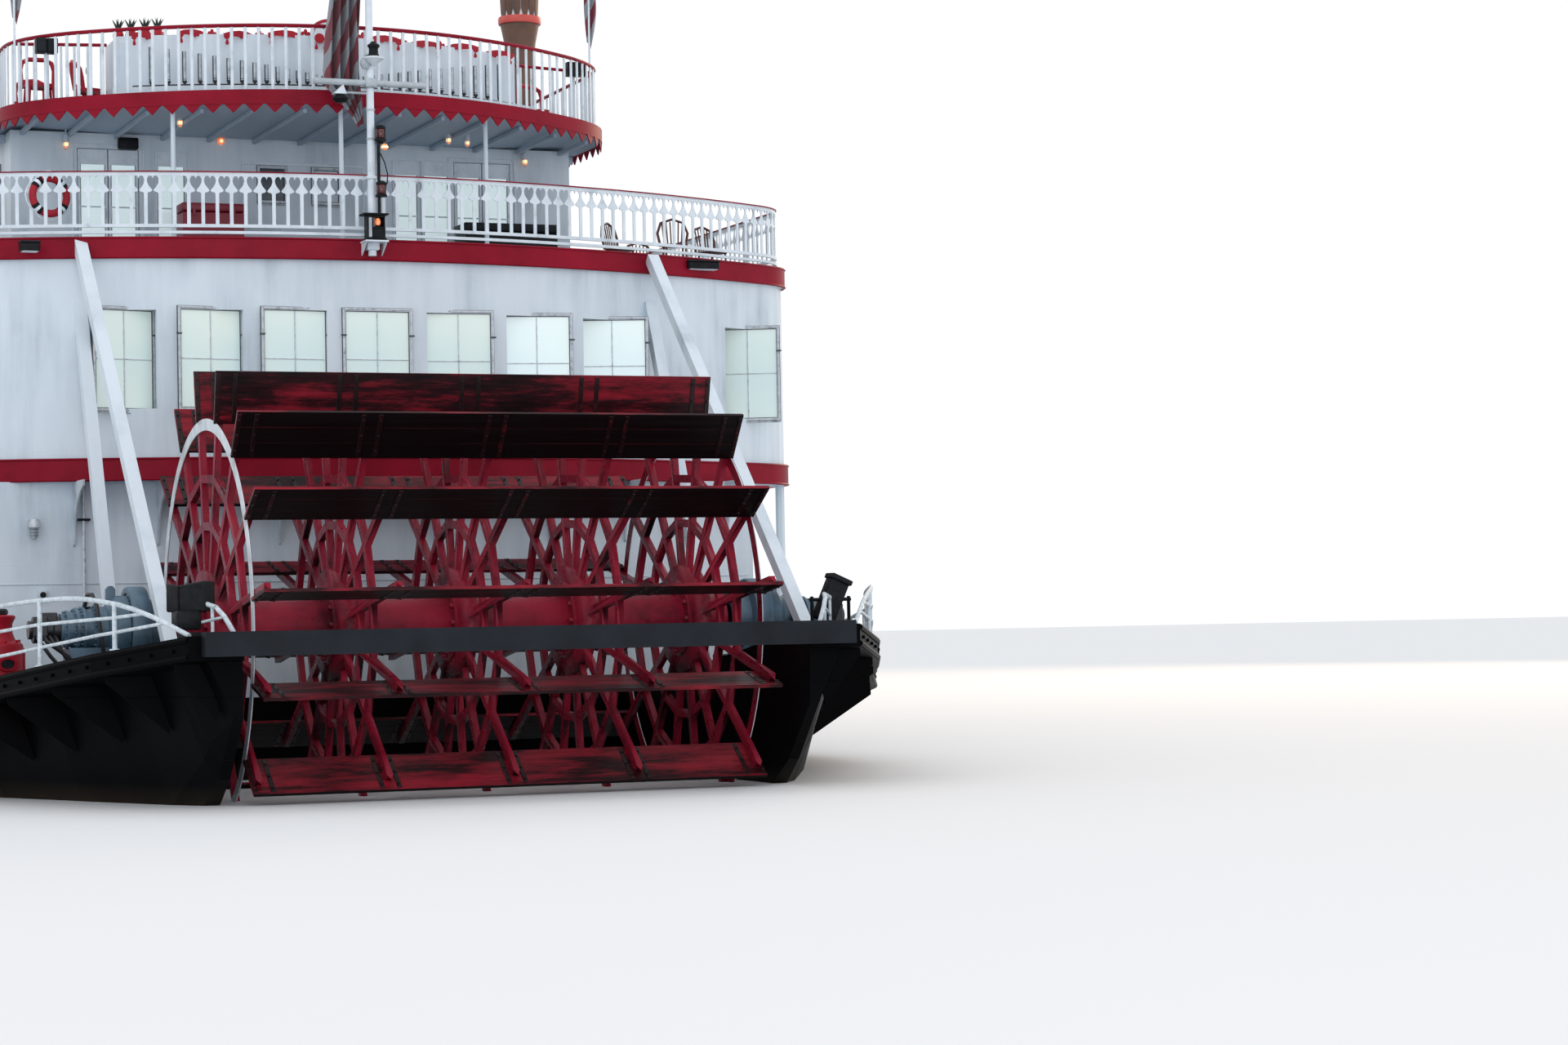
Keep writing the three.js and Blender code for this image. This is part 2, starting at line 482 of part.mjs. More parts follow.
// Stacks on the third deck, with a flare and a petalled crown
const STACK = { x: 15.3, y: 6.0, radius: 0.315 };
function stackProfile() {
  const points = [
    [0, THIRD.z1 + GAP], [0.5, THIRD.z1 + GAP], [0.5, THIRD.z1 + 0.25], [STACK.radius, THIRD.z1 + 0.25],
    [STACK.radius, 16.6], [0.4, 17.1], [0.46, 17.15], [0.46, 17.3], [0.38, 17.35], [0.42, 18.1], [0.62, 18.9],
    [0.57, 18.9], [0.36, 18.1], [0.3, 17.5], [0, 17.5],
  ];
  return points.map(([r, z]) => new THREE.Vector2(r, z));
}
for (const [side, s] of SIDES) {
  const lathe = new THREE.LatheGeometry(stackProfile(), 20).rotateX(Math.PI / 2);
  addNode(`stack_${side}`, toSolid(lathe.translate(STACK.x, s * STACK.y, 0)), BROWN, 0.5);
}

// Steam organ behind the roof rail: a row of whistles on a curved base, with a screen ahead of them
const ORGAN = { half: 3.7, x: 6.2, bow: 0.08, deep: 0.75, base: 0.25, screen: 1.25, steps: 12 };
function organStrip(half, from, to, z0, z1) {
  const ys = Array.from({ length: ORGAN.steps + 1 }, (_, i) => half * (1 - (2 * i) / ORGAN.steps));
  const edge = (out) => ys.map((y) => [ORGAN.x + out + ORGAN.bow * y * y, y]);
  return plate(outline([...edge(from), ...edge(to).toReversed()]), ROOF.z1 + z0, ROOF.z1 + z1);
}
const WHISTLES = { count: 21, pitch: 0.34, x: 0.3, radius: 0.05, short: 0.3, rise: 0.05 };
const whistles = Array.from({ length: WHISTLES.count }, (_, k) => (k - (WHISTLES.count - 1) / 2) * WHISTLES.pitch)
  .map((y) => {
    const x = ORGAN.x + WHISTLES.x + ORGAN.bow * y * y;
    const top = ROOF.z1 + ORGAN.base + WHISTLES.short + WHISTLES.rise * y * y;
    return cylinder([x, y, ROOF.z1 + ORGAN.base - 0.05], [x, y, top], WHISTLES.radius, 6);
  });
addNode('steam_organ', join(
  organStrip(ORGAN.half, 0, ORGAN.deep, GAP, ORGAN.base),
  organStrip(ORGAN.half - 0.05, ORGAN.deep - 0.13, ORGAN.deep - 0.06, ORGAN.base - 0.05, ORGAN.screen), ...whistles,
), WHITE);

// Flagstaff at the after edge of the third deck, jackstaff at the bow
const STAFF = { x: 4.42, z0: 10.9, z1: 17.6, radius: 0.07, yard: 13.87 };
const railTop = THIRD.z1 + RAIL.third;
const FLAG = { x: STAFF.x + 0.04, y: STAFF.radius + 0.01 };
const LASHINGS = [14.1, 15.4, 16.7];
addNode('flagstaff', join(
  box(STAFF.x - 0.12, THIRD.aft - GAP, -0.12, 0.12, THIRD.z0 + 0.02, THIRD.z1 - 0.04),
  box(STAFF.x - 0.1, THIRD.aft + RAIL.inset - GAP, -0.08, 0.08, railTop - 0.07, railTop - 0.01),
  cylinder([STAFF.x, 0, STAFF.z0], [STAFF.x, 0, STAFF.z1], STAFF.radius, 12, 0.04),
  cylinder([STAFF.x, -0.95, STAFF.yard], [STAFF.x, 0.95, STAFF.yard], 0.035, 8),
  ...LASHINGS.map((z) => box(STAFF.x - 0.02, FLAG.x + 0.06, 0, FLAG.y - GAP, z - 0.03, z + 0.03)),
), WHITE);
// Furled flag lashed to the flagstaff, ahead of its yard. Columns: height, width to port, depth
const FLAG_SECTIONS = [
  [13.4, 0.12, 0.06], [14.1, 0.5, 0.16], [15.4, 0.62, 0.26], [16.7, 0.45, 0.22], [17.3, 0.12, 0.1],
];
addNode('stern_flag', loft(FLAG_SECTIONS.map(([z, wide, deep]) => [
  [FLAG.x, FLAG.y, z], [FLAG.x + deep, FLAG.y, z], [FLAG.x + deep, FLAG.y + wide, z], [FLAG.x, FLAG.y + wide, z],
])), RED);
addNode('jackstaff', join(
  cylinder([50.9, 0, deckTop(50.9) + 0.15], [50.9, 0, 10.5], 0.08, 12, 0.04),
  box(50.7, 51.1, -0.2, 0.2, highest(50.9, 0.2) + GAP, highest(50.9, 0.2) + 0.2),
), WHITE);

// Rails on the after deck
for (const [side, s] of SIDES) {
  const path = [-3.2, -1.2, 2, 6.2].map((x) => [x, between(DECK, 1, x) - 0.08]);
  const bits = [];
  const railZ = (x, level) => deckTop(x) + level;
  for (let i = 0; i < path.length - 1; i++) {
    const [[xa, ya], [xb, yb]] = [path[i], path[i + 1]];
    for (const level of [1.05, 0.72, 0.4]) {
      bits.push(cylinder([xa, s * ya, railZ(xa, level)], [xb, s * yb, railZ(xb, level)], 0.03, 6));
    }
  }
  for (const [x, y] of path) {
    bits.push(cylinder([x, s * y, highest(x, 0.04) + GAP], [x, s * y, railZ(x, 1.07)], 0.035, 6));
  }
  addNode(`fantail_rail_${side}`, join(...bits), WHITE);
}

// Capstans: two on the after deck and one on the foredeck
function capstan(x, y) {
  const z = plinthTop(x) + GAP;
  const profile = [
    [0, 0], [0.45, 0], [0.45, 0.62], [0.33, 0.72], [0.28, 0.88], [0.31, 1.05], [0.31, 1.15], [0, 1.15],
  ];
  const lathe = new THREE.LatheGeometry(profile.map(([r, h]) => new THREE.Vector2(r, h)), 14);
  return toSolid(lathe.rotateX(Math.PI / 2).translate(x, y, z));
}
for (const [name, x, y] of CAPSTANS) {
  addNode(`capstan_${name}`, capstan(x, y), RED);
}

// Machinery block inside the main-deck house
addNode('engine_block', box(12, 17, -1.4, 1.4, FREEBOARD + GAP, FREEBOARD + 2.2), GREY);

// Landing stage hinged on the foredeck, on one base with its mast
const STAGE = { x: 46.6, y: 2.1, half: 0.7, deep: 0.12, tilt: 14, pin: 0.8, bore: 0.078 };
const tiltTurn = (STAGE.tilt * Math.PI) / 180;
STAGE.length = (BOW - STAGE.x - STAGE.deep * Math.sin(tiltTurn)) / Math.cos(tiltTurn);
const stageBase = { x0: 44.7, x1: 46.9, half: STAGE.half + 0.28, z: highest(45.8, 1.1) + GAP, deep: 0.12 };
const pinZ = stageBase.z + STAGE.pin;
const cheeks = SIDES.map(([, s]) => box(
  STAGE.x - 0.2, STAGE.x + 0.2, s > 0 ? STAGE.half + 0.1 : -stageBase.half, s > 0 ? stageBase.half : -STAGE.half - 0.1,
  stageBase.z, pinZ + 0.2,
));
const pinHole = cylinder([STAGE.x, -2, pinZ], [STAGE.x, 2, pinZ], STAGE.bore, 12);
const toStageSide = (solid) => solid.translate([0, STAGE.y, 0]);
addNode('stage_mast', toStageSide(cut(join(
  box(stageBase.x0, stageBase.x1, -stageBase.half, stageBase.half, stageBase.z, stageBase.z + stageBase.deep),
  cylinder([45, 0, stageBase.z + 0.05], [45, 0, 12.5], 0.16, 14, 0.1), ...cheeks,
), pinHole)), WHITE);

const stageBeams = [-1, 1].map((s) => box(
  0, STAGE.length, s * STAGE.half - 0.06, s * STAGE.half + 0.06, -STAGE.deep, 0.18,
));
const stageFloor = box(0, STAGE.length, -STAGE.half, STAGE.half, -0.05, 0);
const collarHalf = STAGE.half + 0.1 - GAP;
const stagePin = join(
  cylinder([0, -stageBase.half, 0], [0, stageBase.half, 0], 0.07, 12),
  cylinder([0, -collarHalf, 0], [0, collarHalf, 0], 0.12, 12),
);
addNode('landing_stage', join(stageFloor, ...stageBeams, stagePin)
  .rotate([0, -STAGE.tilt, 0]).translate([STAGE.x, STAGE.y, pinZ]), WHITE);

export default model;
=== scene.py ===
import math

import bpy
from mathutils import Matrix, Vector


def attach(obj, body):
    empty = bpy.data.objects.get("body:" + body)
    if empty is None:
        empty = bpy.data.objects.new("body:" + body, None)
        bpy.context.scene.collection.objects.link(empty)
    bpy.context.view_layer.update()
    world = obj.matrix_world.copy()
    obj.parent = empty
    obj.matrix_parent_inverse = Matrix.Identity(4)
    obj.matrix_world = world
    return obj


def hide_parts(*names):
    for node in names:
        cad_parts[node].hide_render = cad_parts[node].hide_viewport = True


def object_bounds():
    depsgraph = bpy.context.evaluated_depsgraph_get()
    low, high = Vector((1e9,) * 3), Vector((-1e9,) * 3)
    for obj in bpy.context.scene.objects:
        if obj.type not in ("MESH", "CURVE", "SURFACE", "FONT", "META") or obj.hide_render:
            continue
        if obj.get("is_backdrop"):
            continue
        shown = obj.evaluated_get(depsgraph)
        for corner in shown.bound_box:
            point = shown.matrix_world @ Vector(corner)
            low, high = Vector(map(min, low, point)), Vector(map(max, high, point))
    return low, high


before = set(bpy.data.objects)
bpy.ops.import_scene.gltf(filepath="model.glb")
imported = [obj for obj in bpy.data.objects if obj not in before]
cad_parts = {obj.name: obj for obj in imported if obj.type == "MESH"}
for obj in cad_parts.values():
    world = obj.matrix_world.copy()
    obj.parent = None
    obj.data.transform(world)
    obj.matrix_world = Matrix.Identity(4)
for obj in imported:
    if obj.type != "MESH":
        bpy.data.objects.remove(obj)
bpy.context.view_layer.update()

# Camera, floor and light. The boat is seen from low over the water off the port quarter. The floor is
# plain pale board that cuts the hull at its waterline, under soft white lamps.
HEADING, PITCH, ROLL = math.radians(22.50735), math.radians(1.6599), math.radians(-1.05867)
ahead = Vector((math.cos(HEADING) * math.cos(PITCH), -math.sin(HEADING) * math.cos(PITCH), math.sin(PITCH)))
level = Vector((-math.sin(HEADING), -math.cos(HEADING), 0))
above = level.cross(ahead)
right = level * math.cos(ROLL) + above * math.sin(ROLL)
up = above * math.cos(ROLL) - level * math.sin(ROLL)
bpy.ops.object.camera_add(location=(-37.355, 7.4025, 2.2995))
camera = bpy.context.active_object
camera.rotation_euler = Matrix((right, up, -ahead)).transposed().to_euler()
camera.data.sensor_width = 36
camera.data.lens = 74.42
camera.data.clip_start = 0.1
camera.data.clip_end = 400
bpy.context.scene.camera = camera
WATERLINE = 1.0


def linear(colour):
    """A colour written as sRGB hex, as the linear values that Blender's sockets take."""
    channels = [int(colour[i:i + 2], 16) / 255 for i in (0, 2, 4)]
    return [c / 12.92 if c <= 0.04045 else ((c + 0.055) / 1.055) ** 2.4 for c in channels] + [1]


def material(name, **sockets):
    """A new material, with the values that are the same all over it set on the shader's own sockets."""
    made = bpy.data.materials.new(name)
    made.use_nodes = True
    shader = made.node_tree.nodes["Principled BSDF"]
    for socket, value in sockets.items():
        value = linear(value) if isinstance(value, str) else value
        shader.inputs[socket.replace("_", " ").title().replace("Ior", "IOR")].default_value = value
    return made


def node(owner, kind, settings=None, links=None):
    """Adds one node, sets its values and draws its links. A socket is named or given by its number."""
    made = owner.node_tree.nodes.new("ShaderNode" + kind)
    for key, value in (settings or {}).items():
        if key in ("stops", "steps"):
            made.color_ramp.interpolation = "LINEAR" if key == "stops" else "CONSTANT"
            while len(made.color_ramp.elements) < len(value):
                made.color_ramp.elements.new(0.5)
            for stop, (place, colour) in zip(made.color_ramp.elements, value):
                stop.position = place
                stop.color = linear(colour)
        elif isinstance(key, int) or key in made.inputs:
            made.inputs[key].default_value = linear(value) if isinstance(value, str) else value
        else:
            setattr(made, key, value)
    for key, source in (links or {}).items():
        owner.node_tree.links.new(source, made.inputs[key])
    return made


def shade(owner, **sources):
    """Links the outputs to the shader's sockets of the same names."""
    shader = owner.node_tree.nodes["Principled BSDF"]
    for socket, source in sources.items():
        owner.node_tree.links.new(source, shader.inputs[socket.replace("_", " ").title()])


floor_board = material("matt_pale_floor", base_color="e4e6e7", roughness=0.9)
bpy.ops.mesh.primitive_plane_add(size=400, location=(0, 0, WATERLINE))
floor = bpy.context.active_object
floor.name = "floor"
floor.data.materials.append(floor_board)
floor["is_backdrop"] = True

sky = bpy.data.worlds.new("studio_sky")
sky.use_nodes = True
sky.node_tree.nodes["Background"].inputs["Color"].default_value = linear("fbfcff")
sky.node_tree.nodes["Background"].inputs["Strength"].default_value = 1.04
bpy.context.scene.world = sky
bpy.context.scene.view_settings.view_transform = "Standard"
for spot, energy, size, tint in (
    ((-30, 26, 22), 700, 16, "eaf2ff"),
    ((18, -34, 20), 4200, 14, "ffd9ac"),
    ((-52, 6, 4), 2600, 12, "e4edff"),
):
    bpy.ops.object.light_add(type="AREA", location=spot)
    lamp = bpy.context.active_object
    lamp.data.energy = energy
    lamp.data.size = size
    lamp.data.color = linear(tint)[:3]
    lamp.rotation_euler = (Vector((-10, 0, 4)) - Vector(spot)).to_track_quat("-Z", "Y").to_euler()

# Hull and main deck. Welded steel plate, blasted and rolled with black epoxy. The plates' seams stand a
# little proud, and river water leaves a brown tide mark above the waterline. The black is set deeper than
# the stern beam's: painted shade, as the hull lies in the shade of the guards.
# Painted shade: the hull's black is darker than the paint itself, for the shade under the guards.
hull_paint = material("black_epoxy_on_steel", base_color="08090b", roughness=0.42, specular_ior_level=0.03)
seat = node(hull_paint, "TexCoord").outputs["Object"]
cloud = node(hull_paint, "TexNoise", {"Scale": 1.3, "Detail": 6}, {"Vector": seat})
split = node(hull_paint, "SeparateXYZ", links={"Vector": seat})
seam = node(hull_paint, "TexBrick", {"Color1": "ffffff", "Color2": "ffffff", "Mortar": "000000", "Scale": 1,
    "Mortar Size": 0.006, "Mortar Smooth": 0.6, "Brick Width": 2.4, "Row Height": 0.9},
    {"Vector": node(hull_paint, "CombineXYZ", links={"X": split.outputs["X"],
    "Y": split.outputs["Z"]}).outputs[0]})
tide = node(hull_paint, "MapRange", {"From Min": 1.0, "From Max": 1.15, "To Min": 0.5, "To Max": 0.0},
    {"Value": split.outputs["Z"]})
silt = node(hull_paint, "Math", {"operation": "MULTIPLY"}, {0: tide.outputs[0], 1: cloud.outputs["Fac"]})
black = node(hull_paint, "ValToRGB", {"stops": [(0.3, "030304"), (0.7, "08090b")]},
    {0: cloud.outputs["Fac"]})
worn = node(hull_paint, "Mix", {"data_type": "RGBA", 7: "4a4036"},
    {0: silt.outputs[0], 6: black.outputs[0]})
gloss = node(hull_paint, "MapRange", {"To Min": 0.28, "To Max": 0.6}, {"Value": cloud.outputs["Fac"]})
ripple = node(hull_paint, "Bump", {"Strength": 0.5, "Distance": 0.01}, {"Height": seam.outputs["Fac"]})
shade(hull_paint, base_color=worn.outputs[2], roughness=gloss.outputs[0], normal=ripple.outputs[0])

for name in ("hull", "main_deck", "stern_beam", "rudder_port", "rudder_stbd"):
    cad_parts[name].data.materials.clear()
    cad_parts[name].data.materials.append(hull_paint)
# Painted light: the stern beam gets a lighter black of the same paint, for its lit face that looks aft and
# up.
beam_black = material("worn_black_enamel_painted_lit", base_color="15181d", roughness=0.5, specular_ior_level=0.15)
seat = node(beam_black, "TexCoord").outputs["Object"]
cloud = node(beam_black, "TexNoise", {"Scale": 3, "Detail": 6}, {"Vector": seat})
black = node(beam_black, "ValToRGB", {"stops": [(0.3, "13161b"), (0.7, "1f242b")]},
    {0: cloud.outputs["Fac"]})
shade(beam_black, base_color=black.outputs["Color"])
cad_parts["stern_beam"].data.materials[0] = beam_black


def place(x, y, z):
    """A place on the full-size boat: forward of the wheel's axle, to port, and up from the hull's bottom."""
    return Vector(((x - 25.3) / 2, y / 2, z / 2))


def only(piece):
    """Leaves one piece selected and active."""
    bpy.ops.object.select_all(action="DESELECT")
    piece.select_set(True)
    bpy.context.view_layer.objects.active = piece
    return piece


def worked(piece, kind, **settings):
    """Works a piece with one modifier, which is set and applied."""
    only(piece)
    change = piece.modifiers.new("change", kind)
    for key, value in settings.items():
        setattr(change, key, value)
    bpy.ops.object.modifier_apply(modifier="change")
    return piece


def eased(piece, width, angle=40, rounds=1):
    """Breaks the sharp edges of a piece, by a full-size width."""
    return worked(piece, "BEVEL", width=width / 2, segments=rounds, limit_method="ANGLE",
        angle_limit=math.radians(angle))


def faced_out(piece, merged_within=0):
    """Points a piece's faces outwards, after merging the corners that lie within a distance."""
    only(piece)
    bpy.ops.object.mode_set(mode="EDIT")
    bpy.ops.mesh.select_all(action="SELECT")
    if merged_within:
        bpy.ops.mesh.remove_doubles(threshold=merged_within)
    bpy.ops.mesh.normals_make_consistent(inside=False)
    bpy.ops.object.mode_set(mode="OBJECT")
    return piece


def settled(name):
    """Names the new piece and leaves its place in its mesh."""
    piece = bpy.context.active_object
    piece.name = name
    bpy.ops.object.transform_apply(location=True, rotation=True, scale=True)
    return piece


def bar(name, corner, opposite, edge=0.01, rounds=1):
    """A bar or block between two opposite full-size corners, with eased edges."""
    ends = list(zip(place(*corner), place(*opposite)))
    low, high = Vector([min(pair) for pair in ends]), Vector([max(pair) for pair in ends])
    bpy.ops.mesh.primitive_cube_add(size=1, location=(low + high) / 2, scale=high - low)
    return eased(settled(name), edge, rounds=rounds)


def rod(name, start, end, radius, sides=12, tip=None, edge=None):
    """A round bar between two full-size places, tapered where its tip has another radius."""
    start, end = place(*start), place(*end)
    along = end - start
    bpy.ops.mesh.primitive_cone_add(vertices=sides, radius1=radius / 2,
        radius2=(radius if tip is None else tip) / 2, depth=along.length, location=(start + end) / 2,
        rotation=along.to_track_quat("Z", "Y").to_euler())
    bevel = radius * 0.12 if edge is None else edge
    return eased(settled(name), bevel, angle=50) if bevel else settled(name)


def plate(name, corners, along, edge=0):
    """A plate cut to its full-size corners and given its thickness along a full-size vector."""
    bpy.ops.mesh.primitive_circle_add(vertices=len(corners), radius=1, fill_type="NGON")
    piece = settled(name)
    for vertex, corner in zip(piece.data.vertices, corners):
        vertex.co = place(*corner)
    bpy.ops.object.mode_set(mode="EDIT")
    bpy.ops.mesh.select_all(action="SELECT")
    bpy.ops.mesh.extrude_region_move(TRANSFORM_OT_translate={"value": Vector(along) / 2})
    bpy.ops.object.mode_set(mode="OBJECT")
    faced_out(piece)
    return eased(piece, edge) if edge else piece


def coated(piece, finish):
    """Gives a piece its one finish."""
    piece.data.materials.clear()
    piece.data.materials.append(finish)
    return piece


def painted(finish, *pieces):
    """Gives several pieces the same finish."""
    return [coated(piece, finish) for piece in pieces]


def joined(name, pieces, finish=None):
    """Joins pieces into one, each keeping its own finish unless one is given for all."""
    only(pieces[0])
    for piece in pieces[1:]:
        piece.select_set(True)
    if len(pieces) > 1:
        bpy.ops.object.join()
    pieces[0].name = name
    return coated(pieces[0], finish) if finish else pieces[0]


def copies_of(first, moves):
    """Copies of a piece, one moved by each matrix, in place of the first."""
    copies = []
    for move in moves:
        copy = first.copy()
        copy.data = first.data.copy()
        copy.data.transform(move)
        bpy.context.collection.objects.link(copy)
        copies.append(copy)
    bpy.data.objects.remove(first)
    return copies


def stood_at(at, turn):
    """The move that takes a piece from the full-size origin to another place, after a turn."""
    return Matrix.Translation(place(*at)) @ turn @ Matrix.Translation(-place(0, 0, 0))


def repeated(name, first, stands, finish=None):
    """Copies of a piece made at the full-size origin, set up at (x, y, z, turn) and joined as one."""
    moves = [stood_at(at, Matrix.Rotation(turn, 4, "Z")) for *at, turn in stands]
    return joined(name, copies_of(first, moves), finish)


def fitted(piece, body="boat", instead_of=()):
    """Shades a finished piece and fixes it to its body."""
    only(piece)
    bpy.ops.object.shade_smooth_by_angle(angle=math.radians(35))
    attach(piece, body)
    if instead_of:
        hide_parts(*instead_of)
    return piece


def copied(name):
    """A copy of one of the frame's parts, so that its mesh may be changed."""
    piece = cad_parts[name].copy()
    piece.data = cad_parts[name].data.copy()
    bpy.context.collection.objects.link(piece)
    return only(piece)


def walk(points, pitch, start=0.0, closed=True):
    """Stands a pitch apart along a plan line: x, y and the turn that faces a piece outwards."""
    legs = list(zip(points, points[1:] + points[:1])) if closed else list(zip(points, points[1:]))
    total = sum(math.dist(a, b) for a, b in legs)
    count = round((total - 2 * start) / pitch)
    step = (total - 2 * start) / count
    targets = [start + step * (k + (0.5 if closed else 0)) for k in range(count + (0 if closed else 1))]
    stands, passed = [], 0.0
    for a, b in legs:
        length = math.dist(a, b)
        while targets and targets[0] <= passed + length + 1e-6:
            share = (targets.pop(0) - passed) / length
            turn = math.atan2(b[0] - a[0], a[1] - b[1])
            stands.append((a[0] + (b[0] - a[0]) * share, a[1] + (b[1] - a[1]) * share, turn))
        passed += length
    return stands


DECK_PLAN = [(-4.2, 5.15), (-3.4, 5.65), (-2.5, 6.2), (-1.2, 6.75), (0, 7.2), (2, 8.15), (4, 8.6),
    (6, 8.88), (7, 8.9), (36, 8.9), (40, 8.5), (44, 7.2), (48, 5.0), (50.6, 2.9), (52, 1.1)]


MAIN_TOP = 3.24


def deck_top(x):
    """Height of the main deck's top, which rises towards both ends."""
    if x < 7:
        return MAIN_TOP + 1.29 * ((7 - x) / 11.6) ** 1.3
    return MAIN_TOP + (0.8 * ((x - 40) / 12) ** 1.8 if x > 40 else 0)


def drawn(name, places, closed=False, height=0, **settings):
    """A line through places, set up as a curve with a width or a height and made a mesh."""
    bpy.ops.curve.primitive_nurbs_path_add()
    line = bpy.context.active_object
    line.data.splines.clear()
    spline = line.data.splines.new("POLY")
    spline.points.add(len(places) - 1)
    for point, at in zip(spline.points, places):
        point.co = (*at, 1)
    spline.use_cyclic_u = closed
    for key, value in settings.items():
        setattr(line.data, key, value)
    line.location = (0, 0, height)
    only(line)
    bpy.ops.object.convert(target="MESH")
    return settled(name)


def run(name, points, radius, sides=8, closed=False):
    """A round rail or pipe along full-size points."""
    return drawn(name, [place(*at) for at in points], closed, dimensions="3D", bevel_depth=radius / 2,
        bevel_resolution=max(0, sides // 4 - 1), use_fill_caps=not closed)


# Guards. The main deck is carried out past the hull on welded bracket plates, and two half-round rubbing
# bars with a row of bolt heads between them run along its edge.
HULL_SIDE = [
    (-4.1, 4.85), (-3.2, 5.2), (-2, 5.6), (0, 6.4), (2, 7.1), (4.4, 7.7), (8, 8.1), (13, 8.2), (36, 8.2),
    (40, 7.7), (44, 6.2), (48, 4.0), (50.5, 2.0), (51.6, 0.9),
]


def between(table, x):
    """The second column of a table where its first column is x."""
    for (x0, a), (x1, b) in zip(table, table[1:]):
        if x <= x1:
            return a + (b - a) * (x - x0) / (x1 - x0)
    return table[-1][1]


brackets = []
for k in range(44):
    x = -3.9 + 1.2 * k
    top = deck_top(x) - 0.345
    inner, outer = between(HULL_SIDE, x) - 0.35, between(DECK_PLAN, x) - 0.06
    for side in (1, -1):
        brackets.append(plate(
            "bracket", [(x, side * inner, top), (x, side * outer, top), (x, side * outer, top - 0.1),
                        (x, side * (inner + 0.1), top - 0.85)], (0.03, 0, 0),
        ))
fitted(joined("guard_brackets", brackets, hull_paint))

guard = [(x, y) for x, y in DECK_PLAN[:9]] + [(x, 8.9) for x in range(9, 36, 3)] + DECK_PLAN[9:]
for name, side in (("port", 1), ("stbd", -1)):
    bars = [run("rubbing_bar", [(x, side * y, deck_top(x) - drop) for x, y in guard], 0.045)
        for drop in (0.05, 0.3)]
    bolt = rod("bolt", (0, 0, 0), (-0.035, 0, 0), 0.03, sides=6, edge=0.006)
    stands = walk([(x, side * y) for x, y in guard], 0.45, 0.3, closed=False)
    heads = repeated("guard_bolts", bolt, [
        (x, y, deck_top(x) - 0.175, turn if side < 0 else turn + math.pi) for x, y, turn in stands
    ])
    fitted(joined(f"guard_bars_{name}", bars + [heads], hull_paint))

# Paddle wheel. Welded steel arms and rings in red oxide enamel, always wet: water runs in dark streaks
# and black blotches of weed and oil cloud the red. The faces that look down are painted darker, as shade.
wheel_red = material("wet_red_enamel", base_color="80162a", roughness=0.3, specular_ior_level=0.16)
seat = node(wheel_red, "TexCoord").outputs["Object"]
blotch = node(wheel_red, "TexNoise", {"Scale": 2.2, "Detail": 8, "Roughness": 0.65}, {"Vector": seat})
streak = node(wheel_red, "TexNoise", {"Scale": 14, "Detail": 4}, {"Vector": seat})
facing = node(wheel_red, "SeparateXYZ", links={"Vector": node(wheel_red, "NewGeometry").outputs["Normal"]})
# Painted shade: faces that look down are darkened, as shade.
below = node(wheel_red, "MapRange", {"From Min": -0.35, "From Max": -0.8, "To Min": -0.06, "To Max": 0.14},
    {"Value": facing.outputs["Z"]})
smears_and_shade = node(wheel_red, "Math", {"operation": "ADD"}, {0: blotch.outputs["Fac"], 1: below.outputs[0]})
tone = node(wheel_red, "ValToRGB", {"stops": [(0.3, "8f1a30"), (0.5, "771629"), (0.6, "4c0f1c"),
    (0.72, "19070c")]}, {0: smears_and_shade.outputs[0]})
wet = node(wheel_red, "MapRange", {"To Min": 0.12, "To Max": 0.5}, {"Value": streak.outputs["Fac"]})
relief = node(wheel_red, "Bump", {"Strength": 0.25, "Distance": 0.004}, {"Height": streak.outputs["Fac"]})
shade(wheel_red, base_color=tone.outputs["Color"], roughness=wet.outputs[0], normal=relief.outputs[0])
AXLE = 4.6
SPOKES = (-3.9, -1.95, 0, 1.95, 3.9)


def round_the_axle(name, first, angles):
    """Copies of a wheel piece made level with the axle, turned up by each angle and joined."""
    axle = Matrix.Translation(place(0, 0, AXLE))
    moves = [axle @ Matrix.Rotation(angle, 4, "Y") @ axle.inverted() for angle in angles]
    return joined(name, copies_of(first, moves))


ARM_END = 3.8 / 2
for k in range(1, 6):
    arms = copied(f"spoke_wheel_{k}")
    bpy.ops.object.mode_set(mode="EDIT")
    bpy.ops.mesh.select_all(action="SELECT")
    bpy.ops.mesh.remove_doubles(threshold=0.0001)
    bpy.ops.object.mode_set(mode="OBJECT")
    centre = place(0, 0, AXLE)
    for vertex in arms.data.vertices:
        reach = math.hypot(vertex.co.x - centre.x, vertex.co.z - centre.z)
        if reach > ARM_END:
            vertex.co.x = centre.x + (vertex.co.x - centre.x) * ARM_END / reach
            vertex.co.z = centre.z + (vertex.co.z - centre.z) * ARM_END / reach
    arms.name = f"wheel_arms_{k}"
    fitted(coated(arms, wheel_red), "paddle_wheel", [f"spoke_wheel_{k}"])

tube = [rod("tube", (0, -4.5, AXLE), (0, 4.5, AXLE), 0.4, 40, edge=0.02)]
for y in SPOKES:
    tube.append(rod("hub_flange", (0, y - 0.17, AXLE), (0, y + 0.17, AXLE), 0.62, 40, edge=0.03))
    nut = rod("nut", (-0.52, y - 0.22, AXLE), (-0.52, y + 0.22, AXLE), 0.045, 6, edge=0.01)
    tube.append(round_the_axle("hub_nuts", nut, [math.tau * k / 12 for k in range(12)]))
fitted(joined("wheel_shaft", tube, wheel_red), "paddle_wheel", ["paddle_shaft"])
